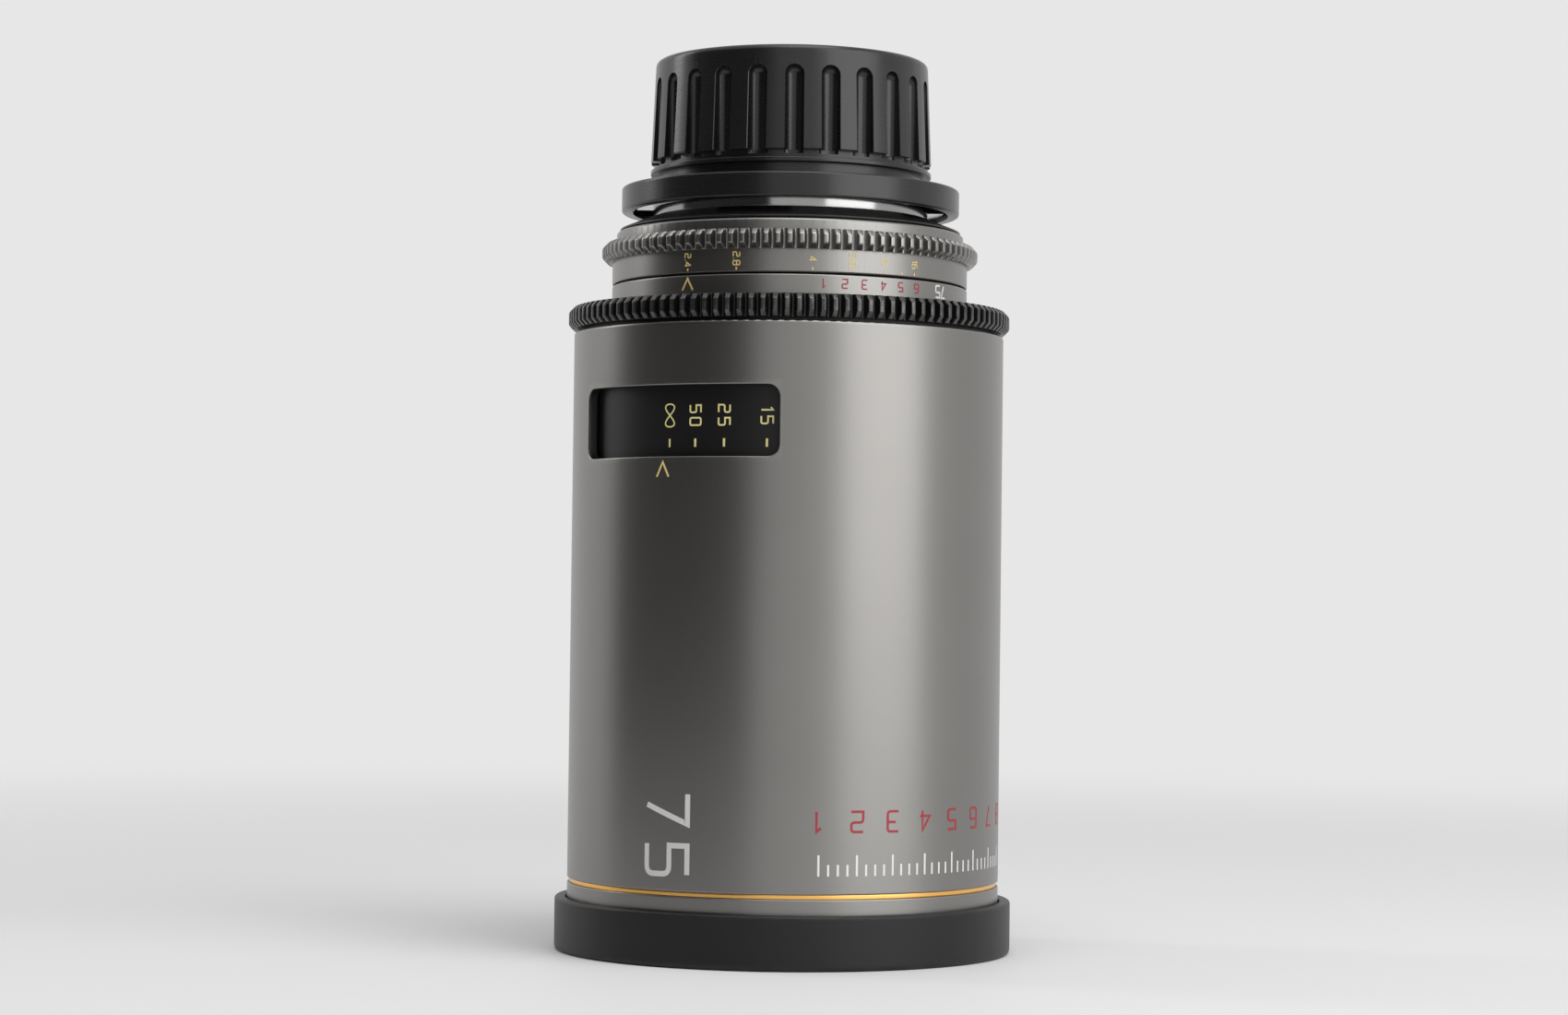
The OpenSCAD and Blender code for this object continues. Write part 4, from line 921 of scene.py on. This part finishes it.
PALE = (0.80, 0.80, 0.80)
FLOOR_COLOUR, FLOOR_ROUGH, FLOOR_SPECULAR = (0.92, 0.92, 0.92), 0.6, 0.2
STAGE_R, STAGE_SIDES = 6.0, 96
FADE_START, FADE_END = 0.1, 1.0
FILL_STRENGTH = 0.35
scene = bpy.context.scene
scene.view_settings.view_transform = "Standard"


def stage():
    """Pale floor that fades into the backdrop away from the lens."""
    mesh = bpy.data.meshes.new("floor")
    turns = [TAU * k / STAGE_SIDES for k in range(STAGE_SIDES)]
    ring = [(STAGE_R * math.cos(t), STAGE_R * math.sin(t), 0) for t in turns]
    mesh.from_pydata(ring, [], [list(range(STAGE_SIDES))])
    floor = bpy.data.objects.new("floor", mesh)
    scene.collection.objects.link(floor)
    material = bpy.data.materials.new("pale_floor")
    material.use_nodes = True
    n, links, shader = sockets(material)
    shader.inputs["Base Color"].default_value = (*FLOOR_COLOUR, 1)
    shader.inputs["Roughness"].default_value = FLOOR_ROUGH
    shader.inputs["Specular IOR Level"].default_value = FLOOR_SPECULAR
    place = add(n, "ShaderNodeTexCoord")
    length = add(n, "ShaderNodeVectorMath", operation="LENGTH")
    links.new(place.outputs["Object"], length.inputs[0])
    fade = add(n, "ShaderNodeMapRange", interpolation_type="SMOOTHERSTEP")
    fade.inputs["From Min"].default_value = FADE_START
    fade.inputs["From Max"].default_value = FADE_END
    links.new(length.outputs["Value"], fade.inputs["Value"])
    far = add(n, "ShaderNodeEmission")
    far.inputs["Color"].default_value = (*PALE, 1)
    mix = add(n, "ShaderNodeMixShader")
    links.new(fade.outputs["Result"], mix.inputs["Fac"])
    links.new(shader.outputs["BSDF"], mix.inputs[1])
    links.new(far.outputs["Emission"], mix.inputs[2])
    links.new(mix.outputs["Shader"], n["Material Output"].inputs["Surface"])
    mesh.materials.append(material)


def studio():
    """World that lights softly and shows the pale backdrop to the camera, in gloss and through glass."""
    world = bpy.data.worlds.new("studio")
    scene.world = world
    world.use_nodes = True
    n, links = world.node_tree.nodes, world.node_tree.links
    backdrop = n["Background"]
    backdrop.inputs["Color"].default_value = (*PALE, 1)
    backdrop.inputs["Strength"].default_value = 1.0
    fill = add(n, "ShaderNodeBackground")
    fill.inputs["Color"].default_value = (1, 1, 1, 1)
    fill.inputs["Strength"].default_value = FILL_STRENGTH
    path = add(n, "ShaderNodeLightPath")
    seen = add(n, "ShaderNodeMath", operation="MAXIMUM")
    links.new(path.outputs["Is Camera Ray"], seen.inputs[0])
    links.new(path.outputs["Is Glossy Ray"], seen.inputs[1])
    through = add(n, "ShaderNodeMath", operation="MAXIMUM")
    links.new(seen.outputs["Value"], through.inputs[0])
    links.new(path.outputs["Is Transmission Ray"], through.inputs[1])
    choice = add(n, "ShaderNodeMixShader")
    links.new(through.outputs["Value"], choice.inputs["Fac"])
    links.new(fill.outputs["Background"], choice.inputs[1])
    links.new(backdrop.outputs["Background"], choice.inputs[2])
    links.new(choice.outputs["Shader"], n["World Output"].inputs["Surface"])


stage()
studio()

VIEW = 33.5
AIM = Vector((0, 0, 0.10))


def lamp(name, azimuth, distance, height, wide, tall, watts):
    """Soft box aimed at the middle of the lens. Azimuth is measured from the camera's."""
    data = bpy.data.lights.new(name, "AREA")
    data.shape = "RECTANGLE"
    data.size, data.size_y = wide, tall
    data.energy = watts
    obj = bpy.data.objects.new(name, data)
    scene.collection.objects.link(obj)
    spot = Vector(at(distance, VIEW + azimuth, height))
    obj.location = spot
    obj.rotation_euler = (AIM - spot).to_track_quat("-Z", "Y").to_euler()


lamp("key_softbox", 51, distance=1.1, height=0.45, wide=1.0, tall=1.1, watts=7)
lamp("left_strip", -110, distance=1.1, height=0.62, wide=0.16, tall=0.6, watts=1.6)
lamp("top_softbox", 20, distance=0.5, height=1.3, wide=0.9, tall=0.9, watts=7)

CARD_COLOUR, CARD_ROUGH, CARD_STEPS = (0.03, 0.03, 0.03), 0.9, 24


def dark_card(name, start, stop, distance, tall):
    """Curved dark card that only shows in reflections, so the metal keeps a dark side."""
    step = (stop - start) / CARD_STEPS
    ring = [at(distance, VIEW + start + step * k, 0) for k in range(CARD_STEPS + 1)]
    points = ring + [(x, y, tall) for x, y, _ in ring]
    faces = [(k, k + 1, CARD_STEPS + k + 2, CARD_STEPS + k + 1) for k in range(CARD_STEPS)]
    mesh = bpy.data.meshes.new(name)
    mesh.from_pydata(points, [], faces)
    card = bpy.data.objects.new(name, mesh)
    scene.collection.objects.link(card)
    material = bpy.data.materials.new(name)
    material.use_nodes = True
    shader = sockets(material)[2]
    shader.inputs["Base Color"].default_value = (*CARD_COLOUR, 1)
    shader.inputs["Roughness"].default_value = CARD_ROUGH
    mesh.materials.append(material)
    card.visible_camera = False
    card.visible_diffuse = False
    card.visible_transmission = False
    card.visible_shadow = False


dark_card("left_card", -16, -98, distance=0.45, tall=0.5)

# camera: distance from the axis and height in metres, then its turns in degrees
CAMERA_AWAY, CAMERA_UP = 0.772, 0.0754
YAW, PITCH, ROLL = math.radians(0.047165), math.radians(1.637), math.radians(0.693279)
camera = bpy.data.cameras.new("camera")
camera.sensor_fit = "HORIZONTAL"
camera.sensor_width = 36.0
camera.lens = 80.0
camera.clip_start = 0.01
view = bpy.data.objects.new("camera", camera)
scene.collection.objects.link(view)
scene.camera = view
ahead = Matrix.Rotation(YAW, 3, "Z") @ -Vector(at(1, VIEW, 0))
side = ahead.cross(Vector((0, 0, 1))).normalized()
forward = ahead * math.cos(PITCH) + Vector((0, 0, math.sin(PITCH)))
level_up = side.cross(forward)
right = side * math.cos(ROLL) + level_up * math.sin(ROLL)
up = level_up * math.cos(ROLL) - side * math.sin(ROLL)
turn = Matrix((right, up, -forward)).transposed()
view.matrix_world = Matrix.Translation(Vector(at(CAMERA_AWAY, VIEW, CAMERA_UP))) @ turn.to_4x4()
